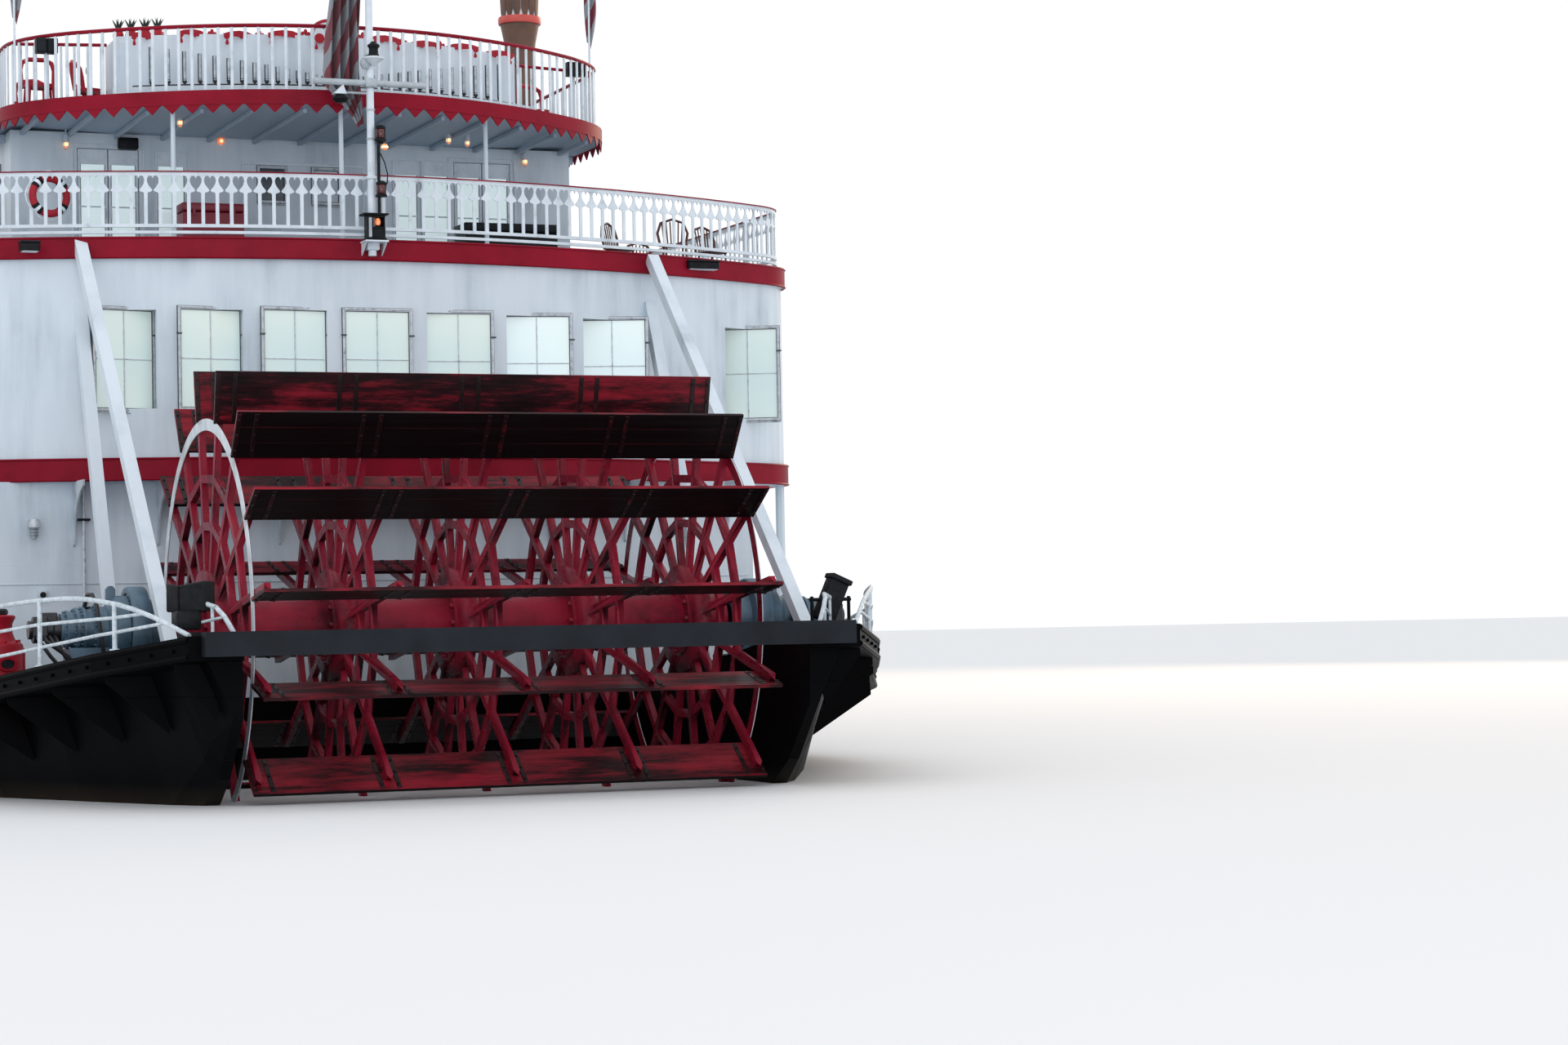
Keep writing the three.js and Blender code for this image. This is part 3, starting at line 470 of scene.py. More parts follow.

# Paddle boards. Each is three oak planks bolted across the arms with steel straps, painted red, and worn
# black in blotches where the water leaves them. The faces that look down are painted darker still, as shade.
board_red = material("wet_painted_oak", base_color="701422", roughness=0.35, specular_ior_level=0.16)
seat = node(board_red, "TexCoord").outputs["Object"]
grain_way = node(board_red, "Mapping", {"Scale": (30, 1.2, 30)}, {"Vector": seat})
grain = node(board_red, "TexNoise", {"Scale": 1, "Detail": 5}, {"Vector": grain_way.outputs[0]})
rub_way = node(board_red, "Mapping", {"Scale": (5, 0.75, 5)}, {"Vector": seat})
blotch = node(board_red, "TexNoise", {"Scale": 1.1, "Detail": 9, "Roughness": 0.72},
    {"Vector": rub_way.outputs[0]})
facing = node(board_red, "SeparateXYZ", links={"Vector": node(board_red, "NewGeometry").outputs["Normal"]})
# Painted shade: faces that look down are darkened, as shade.
below = node(board_red, "MapRange", {"From Min": -0.2, "From Max": -0.5, "To Min": 0.0, "To Max": 0.4},
    {"Value": facing.outputs["Z"]})
smears_and_shade = node(board_red, "Math", {"operation": "ADD"}, {0: blotch.outputs["Fac"], 1: below.outputs[0]})
tone = node(board_red, "ValToRGB", {"stops": [(0.4, "8c1a2a"), (0.49, "6a1320"), (0.56, "2c0a10"),
    (0.66, "0b0507")]}, {0: smears_and_shade.outputs[0]})
wet = node(board_red, "MapRange", {"To Min": 0.2, "To Max": 0.6}, {"Value": grain.outputs["Fac"]})
relief = node(board_red, "Bump", {"Strength": 0.35, "Distance": 0.006}, {"Height": grain.outputs["Fac"]})
shade(board_red, base_color=tone.outputs["Color"], roughness=wet.outputs[0], normal=relief.outputs[0])


def mottled(name, tones, scale, relief=0.0, **sockets):
    """A finish that clouds between its tones, with a little relief from the same clouds."""
    made = material(name, base_color=tones[0][1], **sockets)
    seat = node(made, "TexCoord").outputs["Object"]
    cloud = node(made, "TexNoise", {"Scale": scale, "Detail": 6, "Roughness": 0.6}, {"Vector": seat})
    tone = node(made, "ValToRGB", {"stops": tones}, {0: cloud.outputs["Fac"]})
    bump = node(made, "Bump", {"Strength": relief, "Distance": 0.004}, {"Height": cloud.outputs["Fac"]})
    shade(made, base_color=tone.outputs["Color"], normal=bump.outputs[0])
    return made


strap_black = mottled("wet_black_iron", [(0.4, "0e0607"), (0.6, "22090d"), (0.75, "5a1018")], 9,
    roughness=0.35, specular_ior_level=0.3)
FIRST_BOARD = math.radians(76)
BOARD_ANGLES = [FIRST_BOARD - math.tau * k / 16 for k in range(16)]
planks = []
for k in range(3):
    x = 0.2705 * k - 4.0
    planks.append(coated(bar("plank", (x, -4.0, AXLE - 0.111), (x + 0.27, 4.0, AXLE - 0.061), 0.001),
        board_red))
for y in SPOKES:
    y = max(-3.83, min(3.83, y))
    for dy in (-0.13, 0.13):
        centre = y + dy
        iron = [bar("strap", (-3.97, centre - 0.035, AXLE + low), (-3.22, centre + 0.035, AXLE + high),
            0.005) for low, high in ((-0.124, -0.108), (-0.064, -0.05))]
        iron += [rod("bolt", (x, centre, AXLE - 0.145), (x, centre, AXLE - 0.03), 0.022, 6, edge=0.005)
            for x in (-3.87, -3.6, -3.33)]
        planks += painted(strap_black, *iron)
boards = round_the_axle("board_set", joined("board", planks), BOARD_ANGLES)

# End rings. A flat steel ring is bolted to the arms at each end of the wheel, red inside and white
# outside.
ring_white = mottled("white_ring_enamel", [(0.42, "dbe4ea"), (0.62, "c0c7cb"), (0.76, "8f8480")], 5,
    roughness=0.4)
rings = []
for y, outward, finish in ((3.956, 0.014, ring_white), (3.95, 0.006, wheel_red),
        (-3.956, -0.014, ring_white), (-3.95, -0.006, wheel_red)):
    bpy.ops.mesh.primitive_circle_add(vertices=96, radius=1.6, location=place(0, y, AXLE),
        rotation=(math.pi / 2, 0, 0))
    ring = settled("ring")
    bpy.ops.object.mode_set(mode="EDIT")
    bpy.ops.mesh.select_all(action="SELECT")
    bpy.ops.mesh.extrude_region_move()
    bpy.ops.transform.resize(value=(3.02 / 3.2, 1, 3.02 / 3.2), center_override=place(0, y, AXLE))
    bpy.ops.mesh.select_all(action="SELECT")
    bpy.ops.mesh.extrude_region_move(TRANSFORM_OT_translate={"value": (0, outward / 2, 0)})
    bpy.ops.object.mode_set(mode="OBJECT")
    rings.append(coated(eased(faced_out(ring), 0.002), finish))
fitted(joined("paddle_board_set", [boards] + rings), "paddle_wheel", ["paddle_boards"])

# Decks above the main deck. Steel plate with a band of crimson enamel welded round the edge, grey non-
# slip paint on top and white paint on the underside.
band_red = material("crimson_enamel_on_steel", base_color="9b1b2c", roughness=0.42, specular_ior_level=0.08)
seat = node(band_red, "TexCoord").outputs["Object"]
fade = node(band_red, "TexNoise", {"Scale": 1.7, "Detail": 7, "Roughness": 0.6}, {"Vector": seat})
tone = node(band_red, "ValToRGB", {"stops": [(0.3, "94182e"), (0.55, "851528"), (0.75, "6e1120")]},
    {0: fade.outputs["Fac"]})
dents = node(band_red, "TexNoise", {"Scale": 5, "Detail": 2}, {"Vector": seat})
relief = node(band_red, "Bump", {"Strength": 0.12, "Distance": 0.01}, {"Height": dents.outputs["Fac"]})
shade(band_red, base_color=tone.outputs["Color"], normal=relief.outputs[0])

deck_finish = material("painted_deck_plate", base_color="9b1b2c", roughness=0.6, specular_ior_level=0.2)
seat = node(deck_finish, "TexCoord").outputs["Object"]
facing = node(deck_finish, "SeparateXYZ",
    links={"Vector": node(deck_finish, "NewGeometry").outputs["Normal"]})
grit = node(deck_finish, "TexNoise", {"Scale": 60, "Detail": 3}, {"Vector": seat})
tread = node(deck_finish, "ValToRGB", {"stops": [(0.35, "6f767a"), (0.7, "838a8e")]},
    {0: grit.outputs["Fac"]})
upward = node(deck_finish, "Math", {"operation": "GREATER_THAN", 1: 0.5}, {0: facing.outputs["Z"]})
downward = node(deck_finish, "Math", {"operation": "LESS_THAN", 1: -0.5}, {0: facing.outputs["Z"]})
height = node(deck_finish, "MapRange", {"From Max": 7.0},
    {"Value": node(deck_finish, "SeparateXYZ", links={"Vector": seat}).outputs["Z"]})
posts_white = node(deck_finish, "ValToRGB", {"steps": [(0, "d1dde6"), (3.543 / 7, "9b1b2c"),
    (5.597 / 7, "d1dde6"), (6.809 / 7, "9b1b2c")]}, {0: height.outputs[0]})
edge = node(deck_finish, "Mix", {"data_type": "RGBA"},
    {0: upward.outputs[0], 6: posts_white.outputs["Color"], 7: tread.outputs["Color"]})
under = node(deck_finish, "Mix", {"data_type": "RGBA", 7: "b4c3d4"}, {0: downward.outputs[0],
    6: edge.outputs[2]})
relief = node(deck_finish, "Bump", {"Strength": 0.3, "Distance": 0.002}, {"Height": grit.outputs["Fac"]})
shade(deck_finish, base_color=under.outputs[2], normal=relief.outputs[0])
for name in ("second_deck", "third_deck", "roof_deck"):
    coated(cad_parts[name], deck_finish)


def deck_edge(half, aft, fore, bow, corner, inset=0.0):
    """Plan line of a deck's edge: across the stern to starboard, forward, across the bow and aft to port."""
    side = half - inset
    flat = side - corner

    def end(station, way):
        return [(station + way * (inset + bow * y * y), y) for y in [flat * (1 - k / 20)
            for k in range(41)]]

    def quarter(station, way):
        x0 = station + way * (inset + bow * flat * flat)
        x1 = station + way * (inset + bow * side * side)
        points = []
        for k in range(1, 7):
            t = k / 6
            x = (1 - t) ** 2 * x0 + 2 * t * (1 - t) * x1 + t * t * (x1 + way * corner)
            y = (1 - t) ** 2 * flat + 2 * t * (1 - t) * side + t * t * side
            points.append((x, y))
        return points

    stern, bow_line = end(aft, 1), end(fore, -1)[::-1]
    aft_corner, fore_corner = quarter(aft, 1), quarter(fore, -1)
    return (stern + [(x, -y) for x, y in aft_corner] + [(x, -y) for x, y in fore_corner[::-1]] + bow_line
        + fore_corner + aft_corner[::-1])


DECK_BOW = 0.0334
THIRD_TOP = 11.19
SECOND_EDGE = dict(half=8.9, aft=4.54, fore=44, bow=DECK_BOW, corner=0.7)
THIRD_EDGE = dict(half=8.9, aft=4.54, fore=41, bow=DECK_BOW, corner=0.7)
ROOF_EDGE = dict(half=5.6, aft=5.2, fore=38, bow=0.09, corner=0.9)


def ribbon(name, points, z0, z1, thick, closed=True):
    """A strip of plate on edge along a plan line, between two full-size heights."""
    line = drawn(name, [place(x, y, 0) for x, y in points], closed, (z0 + z1) / 4, dimensions="2D",
        fill_mode="NONE", extrude=(z1 - z0) / 4)
    return faced_out(worked(line, "SOLIDIFY", thickness=thick / 2, offset=0))


for name, plan, z0, z1 in (("second", SECOND_EDGE, 7.09, 7.46), ("third", THIRD_EDGE, 10.84, THIRD_TOP)):
    band = ribbon(f"{name}_deck_band", deck_edge(**plan, inset=-0.022), z0 - 0.01, z1 + 0.012, 0.03)
    beads = [run("bead", [(x, y, z) for x, y in deck_edge(**plan, inset=-0.04)], 0.018, 4, True)
        for z in (z0 + 0.01, z1 - 0.01)]
    fitted(joined(f"{name}_deck_band", [band] + beads, band_red))

# Roof fascia. A crimson plate band with a row of pointed teeth
# cut from sheet and riveted below it.
ROOF_TOP = 13.86
ROOF_UNDERSIDE = 13.63
fascia = ribbon("fascia", deck_edge(**ROOF_EDGE, inset=-0.022), 13.61, ROOF_TOP, 0.03)
tooth = plate("tooth", [(-0.025, -0.178, 0), (-0.025, 0.178, 0), (-0.025, 0.0, -0.175)], (0.02, 0, 0))
stands = walk(deck_edge(**ROOF_EDGE), 0.356)
teeth = repeated("teeth", tooth, [(x, y, ROOF_UNDERSIDE, turn) for x, y, turn in stands])
fitted(joined("roof_fascia", [fascia, teeth], band_red))

# Roof posts. Slim white tubes under the roof's edge stand where the photo shows them. The pair at the
# house's corners is left out.
roof_posts = copied("roof_deck")
MOVED = {(5.6, 0): (5.6, 0.25), (6.3, 2.8): (6.3, 3.05), (6.3, -2.8): (6.3, -2.6), (8.2, 5.2): None,
    (8.2, -5.2): None}
for vertex in roof_posts.data.vertices:
    for (x, y), goal in MOVED.items():
        home = place(x, y, ROOF_UNDERSIDE)
        if vertex.co.z < home.z and math.hypot(vertex.co.x - home.x, vertex.co.y - home.y) < 0.04:
            if goal:
                vertex.co.x = place(*goal, 0).x + 0.6 * (vertex.co.x - home.x)
                vertex.co.y = place(*goal, 0).y + 0.6 * (vertex.co.y - home.y)
            else:
                vertex.co.z = place(x, y, 13.7).z
            break
roof_posts.name = "roof_deck_and_posts"
fitted(roof_posts, instead_of=["roof_deck"])

# Roof joists. Steel beams run from the house out to the
# fascia, painted pale grey-blue.
joist_paint = mottled("grey_blue_enamel", [(0.35, "b0bfcf"), (0.7, "a2b0c0")], 4, roughness=0.5)
joists = []
for k in range(13):
    y = -5.1 + 0.85 * k
    start = 5.35 + 0.09 * y * y
    joists.append(bar("web", (start + 0.3, y - 0.035, 13.53), (9.6, y + 0.035, 13.615)))
for k in range(24):
    x = 10.2 + 1.15 * k
    for side in (1, -1):
        joists.append(bar("outrigger", (x - 0.04, side * 5.3, 13.46), (x + 0.04, side * 5.58, 13.615)))
fitted(joined("roof_joists", joists, joist_paint))

# House walls. Flush steel panels sprayed white; the panel joints show as fine lines, and soot and rain
# leave faint grey runs.
house_white = material("white_enamel_on_steel", base_color="d3dfe8", roughness=0.42, specular_ior_level=0.3)
seat = node(house_white, "TexCoord").outputs["Object"]
split = node(house_white, "SeparateXYZ", links={"Vector": seat})
sum_xy = node(house_white, "Math", {"operation": "SUBTRACT"},
    {0: split.outputs["X"], 1: split.outputs["Y"]})
flat_on = node(house_white, "CombineXYZ", links={"X": sum_xy.outputs[0], "Y": split.outputs["Z"]})
seam = node(house_white, "TexBrick", {"Color1": "ffffff", "Color2": "ffffff", "Mortar": "000000",
    "Scale": 1, "Mortar Size": 0.004, "Mortar Smooth": 0.5, "Brick Width": 1.22, "Row Height": 0.95,
    "offset": 0.0}, {"Vector": flat_on.outputs[0]})
hang = node(house_white, "Mapping", {"Scale": (3.2, 3.2, 0.35)}, {"Vector": seat})
runs = node(house_white, "TexNoise", {"Scale": 1.6, "Detail": 7, "Roughness": 0.6},
    {"Vector": hang.outputs[0]})
smudge = node(house_white, "TexNoise", {"Scale": 1.1, "Detail": 5}, {"Vector": seat})
dirt = node(house_white, "Math", {"operation": "MULTIPLY"}, {0: runs.outputs["Fac"],
    1: smudge.outputs["Fac"]})
tone = node(house_white, "ValToRGB", {"stops": [(0.2, "d6e1e9"), (0.32, "cad6df"), (0.5, "a8b3bb")]},
    {0: dirt.outputs[0]})
oiling = node(house_white, "TexNoise", {"Scale": 2.5, "Detail": 1}, {"Vector": seat})
wave = node(house_white, "Bump", {"Strength": 0.08, "Distance": 0.02}, {"Height": oiling.outputs["Fac"]})
groove = node(house_white, "Bump", {"Strength": 0.25, "Distance": 0.003}, {"Height": seam.outputs["Fac"],
    "Normal": wave.outputs[0]})
shade(house_white, base_color=tone.outputs["Color"], normal=groove.outputs[0])
WHITE_PARTS = ("main_house", "second_house", "third_house", "pilot_house", "pilot_door", "door_",
    "outer_brace", "inner_brace", "stage_mast", "landing_stage", "jackstaff", "flagstaff", "fantail_rail",
    "roof_rail", "third_rail", "steam_organ")
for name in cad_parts:
    if name.startswith(WHITE_PARTS):
        coated(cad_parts[name], house_white)

# Windows. Extruded aluminium frames in two steps hold tinted glass over drawn cream blinds, so the panes
# look pale green; a faint glow in the glass, a painted reflection, makes them look bright. Thin bars part
# each into four, and small clips hold the storm frames.
window_metal = mottled("weathered_aluminium", [(0.35, "d3d9de"), (0.58, "bcc3c9"), (0.72, "7d8289")], 20,
    0.1, metallic=0.3, roughness=0.5)
gasket = mottled("black_rubber_gasket", [(0.3, "34373d"), (0.7, "666a71")], 30, roughness=0.7)
# Painted reflection: the glass glows faintly, standing in for the bright sky reflected in the panes.
pane_glass = material("tinted_glass_over_blind", base_color="dfe6d8", roughness=0.12, ior=1.5,
    emission_color=linear("dcebe4"), emission_strength=0.22)
seat = node(pane_glass, "TexCoord").outputs["Object"]
split = node(pane_glass, "SeparateXYZ", links={"Vector": seat})
drop = node(pane_glass, "Math", {"operation": "PINGPONG", 1: 0.9}, {0: split.outputs["Z"]})
haze = node(pane_glass, "TexNoise", {"Scale": 1.2, "Detail": 3}, {"Vector": seat})
blend = node(pane_glass, "Math", {"operation": "MULTIPLY"}, {0: drop.outputs[0], 1: haze.outputs["Fac"]})
tone = node(pane_glass, "ValToRGB", {"stops": [(0.05, "e0e8dc"), (0.25, "d3e3de"), (0.5, "c6dbdb")]},
    {0: blend.outputs[0]})
shade(pane_glass, base_color=tone.outputs["Color"])


def window(wide, high, across=2, down=2, glass=None):
    """A window at the full-size origin, facing aft, its sill at height 0."""
    half = wide / 2
    parts = []

    def surround(name, wide_by, step, x0, x1, finish):
        """Four bars round the opening, from wide_by outside its edge to step further in."""
        edge, low, top = half + wide_by, -wide_by, high + wide_by
        inner = edge - step
        for y0, z0, y1, z1 in ((-edge, low, -inner, top), (inner, low, edge, top),
                (-inner, low, inner, low + step), (-inner, top - step, inner, top)):
            parts.append(coated(bar(name, (x0, y0, z0), (x1, y1, z1), 0.004), finish))

    surround("outline", 0.056, 0.008, -0.02, 0.02, gasket)
    surround("frame", 0.048, 0.03, -0.035, 0.02, window_metal)
    surround("storm_frame", 0.018, 0.02, -0.024, 0.02, window_metal)
    surround("seal", 0.0, 0.013, -0.014, 0.03, gasket)
    for k in range(1, across):
        y = -half + wide * k / across
        parts.append(coated(bar("bar", (-0.004, y - 0.01, 0), (0.03, y + 0.01, high), 0.003), window_metal))
    for k in range(1, down):
        z = high * k / down
        parts.append(coated(bar("bar", (-0.004, -half, z - 0.008), (0.03, half, z + 0.008), 0.003),
            window_metal))
    for side in (-1, 1):
        y = side * (half + 0.035)
        parts.append(coated(bar("clip", (-0.055, y - 0.05, high * 0.74),
            (-0.03, y + 0.05, high * 0.74 + 0.03), 0.006), gasket))
    parts.append(coated(bar("drip", (-0.055, -half - 0.06, -0.085), (0, half + 0.06, -0.06)), window_metal))
    parts.append(coated(bar("pane", (0.012, -half, 0), (0.024, half, high), 0.003), glass or pane_glass))
    return joined("window", parts)


MAIN_SILL, SECOND_SILL, THIRD_SILL = 4.6, 8.3, 12.09
HOUSE_SIDE = 7.4
stern_windows = []
for y, wide in ((7.6, 1.06), (4.165, 1.06), (2.764, 1.09), (1.356, 1.11), (-0.07, 1.13), (-1.54, 1.15),
        (-3.045, 1.17), (-4.589, 1.2), (-7.72, 1.1)):
    stern_windows.append(repeated("stern_window", window(wide, 1.67),
        [(4.58 + DECK_BOW * y * y, y, SECOND_SILL, math.atan(2 * DECK_BOW * y))]))
fitted(joined("stern_windows", stern_windows))
side_windows = [(10 + 1.95 * k, side * 8.86, SECOND_SILL, -side * math.pi / 2) for k in range(14)
    for side in (1, -1)]
fitted(repeated("second_side_windows", window(1.15, 1.67), side_windows))
fore_windows = [(40 - DECK_BOW * y * y, y, SECOND_SILL, math.pi - math.atan(2 * DECK_BOW * y))
    for y in (-5.6, -2.8, 2.8, 5.6)]
fitted(repeated("second_fore_windows", window(1.15, 1.67), fore_windows))
main_windows = [(x, side * HOUSE_SIDE, MAIN_SILL, -side * math.pi / 2) for x in (8, 11, 14, 17, 19.4, 24,
    26.6, 29, 32, 35) for side in (1, -1)]
fitted(repeated("main_side_windows", window(1.1, 1.3), main_windows))
upper_windows = [(11.4 + 2.6 * k, side * 5.3, THIRD_SILL, -side * math.pi / 2) for k in range(9)
    for side in (1, -1)]
upper_windows += [(34, y, THIRD_SILL, math.pi) for y in (-3.2, 0, 3.2)]
fitted(repeated("third_side_windows", window(1.4, 1.0), upper_windows[:18]))
fitted(repeated("third_fore_windows", window(1.6, 1.0, 3, 1), upper_windows[18:]))
dark_glass = mottled("smoked_teal_glass", [(0.35, "2c3d47"), (0.65, "52656d")], 5, roughness=0.12, ior=1.5)
for side, pane in ((1, dark_glass), (-1, house_white)):
    name = "third_small_window_" + ("port" if side > 0 else "stbd")
    fitted(repeated(name, window(0.47, 0.6, 1, 1, pane), [(9.6, side * 0.515, 12.49, 0)]))

# Third-deck rail. Thin white boards with half a heart sawn from each edge stand between steel posts,
# under a dark red cap and over two square rails.
rail_white = mottled("white_rail_enamel", [(0.35, "dde7ee"), (0.6, "cfdae2"), (0.76, "a3adb3")], 6, 0.1,
    roughness=0.4, specular_ior_level=0.3)
wall_white = mottled("rough_white_enamel", [(0.3, "cdd8e0"), (0.6, "bcc7cf"), (0.78, "8b949b")], 7, 0.15,
    roughness=0.5)
HALF_HEART = [(0.119, 1.12), (0.119, 1.01), (0.111, 1.037), (0.094, 1.056), (0.071, 1.062), (0.047, 1.051),
    (0.026, 1.02), (0.019, 0.985), (0.025, 0.95), (0.042, 0.905), (0.071, 0.865), (0.104, 0.825),
    (0.105, 0.805), (0.088, 0.79), (0.045, 0.78), (0.03, 0.76), (0.03, 0.24)]
board_outline = [(-0.009, y, z) for y, z in HALF_HEART] + [(-0.009, -y, z) for y, z in HALF_HEART[::-1]]
heart_board = plate("heart_board", board_outline, (0.018, 0, 0))
third_line = deck_edge(**THIRD_EDGE, inset=0.12)
hearts = repeated("hearts", heart_board, [(x, y, THIRD_TOP, turn) for x, y, turn in walk(third_line,
    0.238)])
strips = [
    ribbon("top_strip", third_line, 12.25, 12.315, 0.03),
    ribbon("low_rail", third_line, 11.375, 11.43, 0.05),
    ribbon("foot_rail", third_line, 11.265, 11.315, 0.05)]
post = bar("post", (-0.05, -0.045, 0), (0.05, 0.045, 1.12))
foot = bar("foot", (-0.09, -0.08, 0), (0.09, 0.08, 0.02), 0.006)
posts = repeated("posts", joined("post", [post, foot]),
    [(x, y, THIRD_TOP, turn) for x, y, turn in walk(third_line, 2.27) if x > 8])
railing = joined("railing", [hearts] + strips + [posts], rail_white)
cap = coated(ribbon("rail_cap", third_line, 12.312, 12.332, 0.07), band_red)
fitted(joined("third_deck_rail", [railing, cap]), instead_of=["third_rail"])

# Roof rail. Flat steel slats stand on the fascia under a
# round red rail.
ROOF_HANDRAIL = 14.99
slat = bar("slat", (-0.015, -0.028, 0), (0.015, 0.028, 1.13), 0.008)
roof_line = deck_edge(**ROOF_EDGE, inset=0.1)
slats = repeated("slats", slat, [(x, y, ROOF_TOP, turn) for x, y, turn in walk(roof_line, 0.2315)],
    rail_white)
handrail = coated(run("handrail", [(x, y, ROOF_HANDRAIL) for x, y in roof_line], 0.035, 12, True), band_red)
fitted(joined("roof_deck_rail", [slats, handrail]), instead_of=["roof_rail"])

# After-deck rails. Three bars of galvanised tube run between stanchions; the top bar sweeps down to the
# deck at the stern, and the lower bars end on it.
tube_paint = mottled("worn_white_tube", [(0.4, "cfdae1"), (0.66, "adb8bd"), (0.74, "7e8180")], 24,
    roughness=0.45)
TOP_BAR = [(-4.12, 0.02), (-3.83, 0.196), (-3.61, 0.322), (-3.38, 0.45), (-3.11, 0.569), (-2.81, 0.687),
    (-2.34, 0.815), (-1.84, 0.907), (-1.14, 0.98), (-0.61, 1.023), (0, 1.05), (7, 1.05)]
MIDDLE_BAR = [(-3.35, 0.455), (-2.83, 0.474), (-1.14, 0.628), (0, 0.675), (7, 0.7)]
LOW_BAR = [(-3.7, 0.262), (-2.83, 0.264), (0, 0.302), (7, 0.34)]
for name, side in (("port", 1), ("stbd", -1)):

    def rail_point(x, rise):
        return x, side * (between(DECK_PLAN, x) - 0.09), deck_top(x) + rise

    tubes = []
    for table, radius in ((TOP_BAR, 0.036), (MIDDLE_BAR, 0.026), (LOW_BAR, 0.026)):
        start = table[0][0]
        stations = [start + (6.3 - start) * k / 34 for k in range(35)]
        tubes.append(run("bar", [rail_point(x, between(table, x)) for x in stations], radius, 12))
    for x in (-2.83, -1.14, 0.6, 2.4, 4.2, 6.0):
        tubes.append(rod("stanchion", rail_point(x, 0), rail_point(x, between(TOP_BAR, x)), 0.036))
        tubes.append(rod("base", rail_point(x, 0), rail_point(x, 0.03), 0.08))
    fitted(joined(f"after_rail_{name}", tubes, tube_paint),
        instead_of=[f"fantail_rail_{name}"])

# Steam organ. A row of nickel whistles stands on a black steam pipe over a white plinth. A curved screen
# of white sheet behind them carries red scrollwork cut from plate, with four painted pineapples at its
# port end.


def turned(name, profile, at, way="Z", sides=32):
    """A round piece turned to a profile of full-size radius and height, set up along Z, Y or -Y."""
    outline = drawn(name, [(radius / 2, 0, rise / 2) for radius, rise in profile])
    piece = worked(outline, "SCREW", steps=sides, render_steps=sides, use_merge_vertices=True)
    tilt = {"Z": 0, "Y": -math.pi / 2, "-Y": math.pi / 2}[way]
    piece.data.transform(Matrix.Translation(place(*at)) @ Matrix.Rotation(tilt, 4, "X"))
    return faced_out(piece, 0.00005)


def hollow(inner, outer, low, high):
    """The profile of a plain ring, closed so that it is solid all round."""
    return [(inner, low), (outer, low), (outer, high), (inner, high), (inner, low)]


ORGAN_BOW = 0.08


def organ_line(x, half):
    """Plan line that follows the curve of the organ, from port to starboard."""
    return [(x + ORGAN_BOW * y * y, y) for y in [half - half * k / 20 for k in range(41)]]


nickel = mottled("weathered_nickel", [(0.3, "cfd8de"), (0.7, "8f989f")], 18, metallic=0.35, roughness=0.3)
pipe_black = mottled("black_iron_pipe", [(0.3, "15161a"), (0.7, "2b2d31")], 22, 0.2, roughness=0.55)
scroll_red = mottled("bright_red_enamel", [(0.3, "b01e30"), (0.7, "961828")], 4, roughness=0.4,
    specular_ior_level=0.25)
crown_green = mottled("dark_green_enamel", [(0.3, "16281f"), (0.7, "24382c")], 30, roughness=0.5)
organ = [
    coated(ribbon("plinth", organ_line(6.58, 3.7), 13.885, 14.09, 0.72, False), rail_white),
    coated(ribbon("screen", organ_line(6.87, 3.66), 14.05, 15.1, 0.05, False), house_white),
    coated(run("steam_pipe", [(x, y, 14.13) for x, y in organ_line(6.5, 3.5)], 0.035, 12), pipe_black)]
for side in (1, -1):
    organ.append(coated(bar("end_wall", (7.9, side * 3.64, 13.89), (9.0, side * 3.69, 15.1)), house_white))
for k in range(34):
    step = k - 16.5
    y = 0.11 * step + 0.0051 * step * abs(step)
    tall = 0.06 + 0.175 * abs(y)
    x = 6.5 + ORGAN_BOW * y * y
    valve = turned("valve", [(0, 0), (0.024, 0), (0.024, 0.05), (0.042, 0.06), (0.042, 0.09), (0.02, 0.1),
        (0.036, 0.12), (0, 0.13)], (x, y, 14.13), sides=8)
    organ += painted(pipe_black, valve, bar("shadow_plate", (x + 0.02, y - 0.036, 14.2),
        (x + 0.03, y + 0.036, 14.22 + tall), 0.003))
    organ.append(coated(turned("whistle", [(0, 0), (0.024, 0), (0.024, tall), (0, tall + 0.01)],
        (x, y, 14.22), sides=10), nickel))


def cut_out(outline, out=0.0, way=1):
    """A shape cut from thin plate, facing aft at the full-size origin. Its outline runs across and up."""
    return plate("cut_out", [(-out, way * across, rise) for across, rise in outline], (0.014, 0, 0))


def around(count, radius, centre=(0, 0), start=0.0, stretch=1.0):
    """Places spread evenly round a centre, from a start angle, on a circle or an oval."""
    angles = [start + math.tau * k / count for k in range(count)]
    return [(centre[0] + radius * math.cos(a), centre[1] + radius * stretch * math.sin(a)) for a in angles]


def oval(radius, centre, stretch=1.0):
    """A round or oval outline."""
    return around(16, radius, centre, stretch=stretch)


LEAF = [(-0.42, 0.0), (-0.28, 0.05), (-0.1, 0.08), (0.06, 0.07), (0.22, 0.02), (0.34, -0.03), (0.3, -0.08),
    (0.12, -0.06), (0.0, -0.03), (-0.06, -0.06), (-0.1, -0.03), (-0.24, -0.03), (-0.34, -0.05)]
DROP = [(0, 0.07), (0.02, 0.02), (0.032, -0.02), (0.025, -0.045), (0, -0.055), (-0.025, -0.045),
    (-0.032, -0.02), (-0.02, 0.02)]


def scroll(way):
    """One length of scrollwork: a leaf that ends in curls, with drops below and a bud above."""
    shapes = [(LEAF, 0.0), (oval(0.08, (0.33, -0.05)), 0.004), (oval(0.06, (0.19, -0.07)), 0.008),
        (oval(0.055, (-0.35, -0.04)), 0.006), (oval(0.035, (0.3, 0.07), 1.6), 0.002),
        (oval(0.03, (0.24, 0.04), 1.3), 0.005), (oval(0.03, (0.36, 0.04), 1.3), 0.007)]
    shapes += [([(s + 0.33, z - 0.18) for s, z in DROP], 0.0), ([(s - 0.34, z - 0.14) for s, z in DROP],
        0.0)]
    return joined("scroll", [cut_out(outline, out, way) for outline, out in shapes])


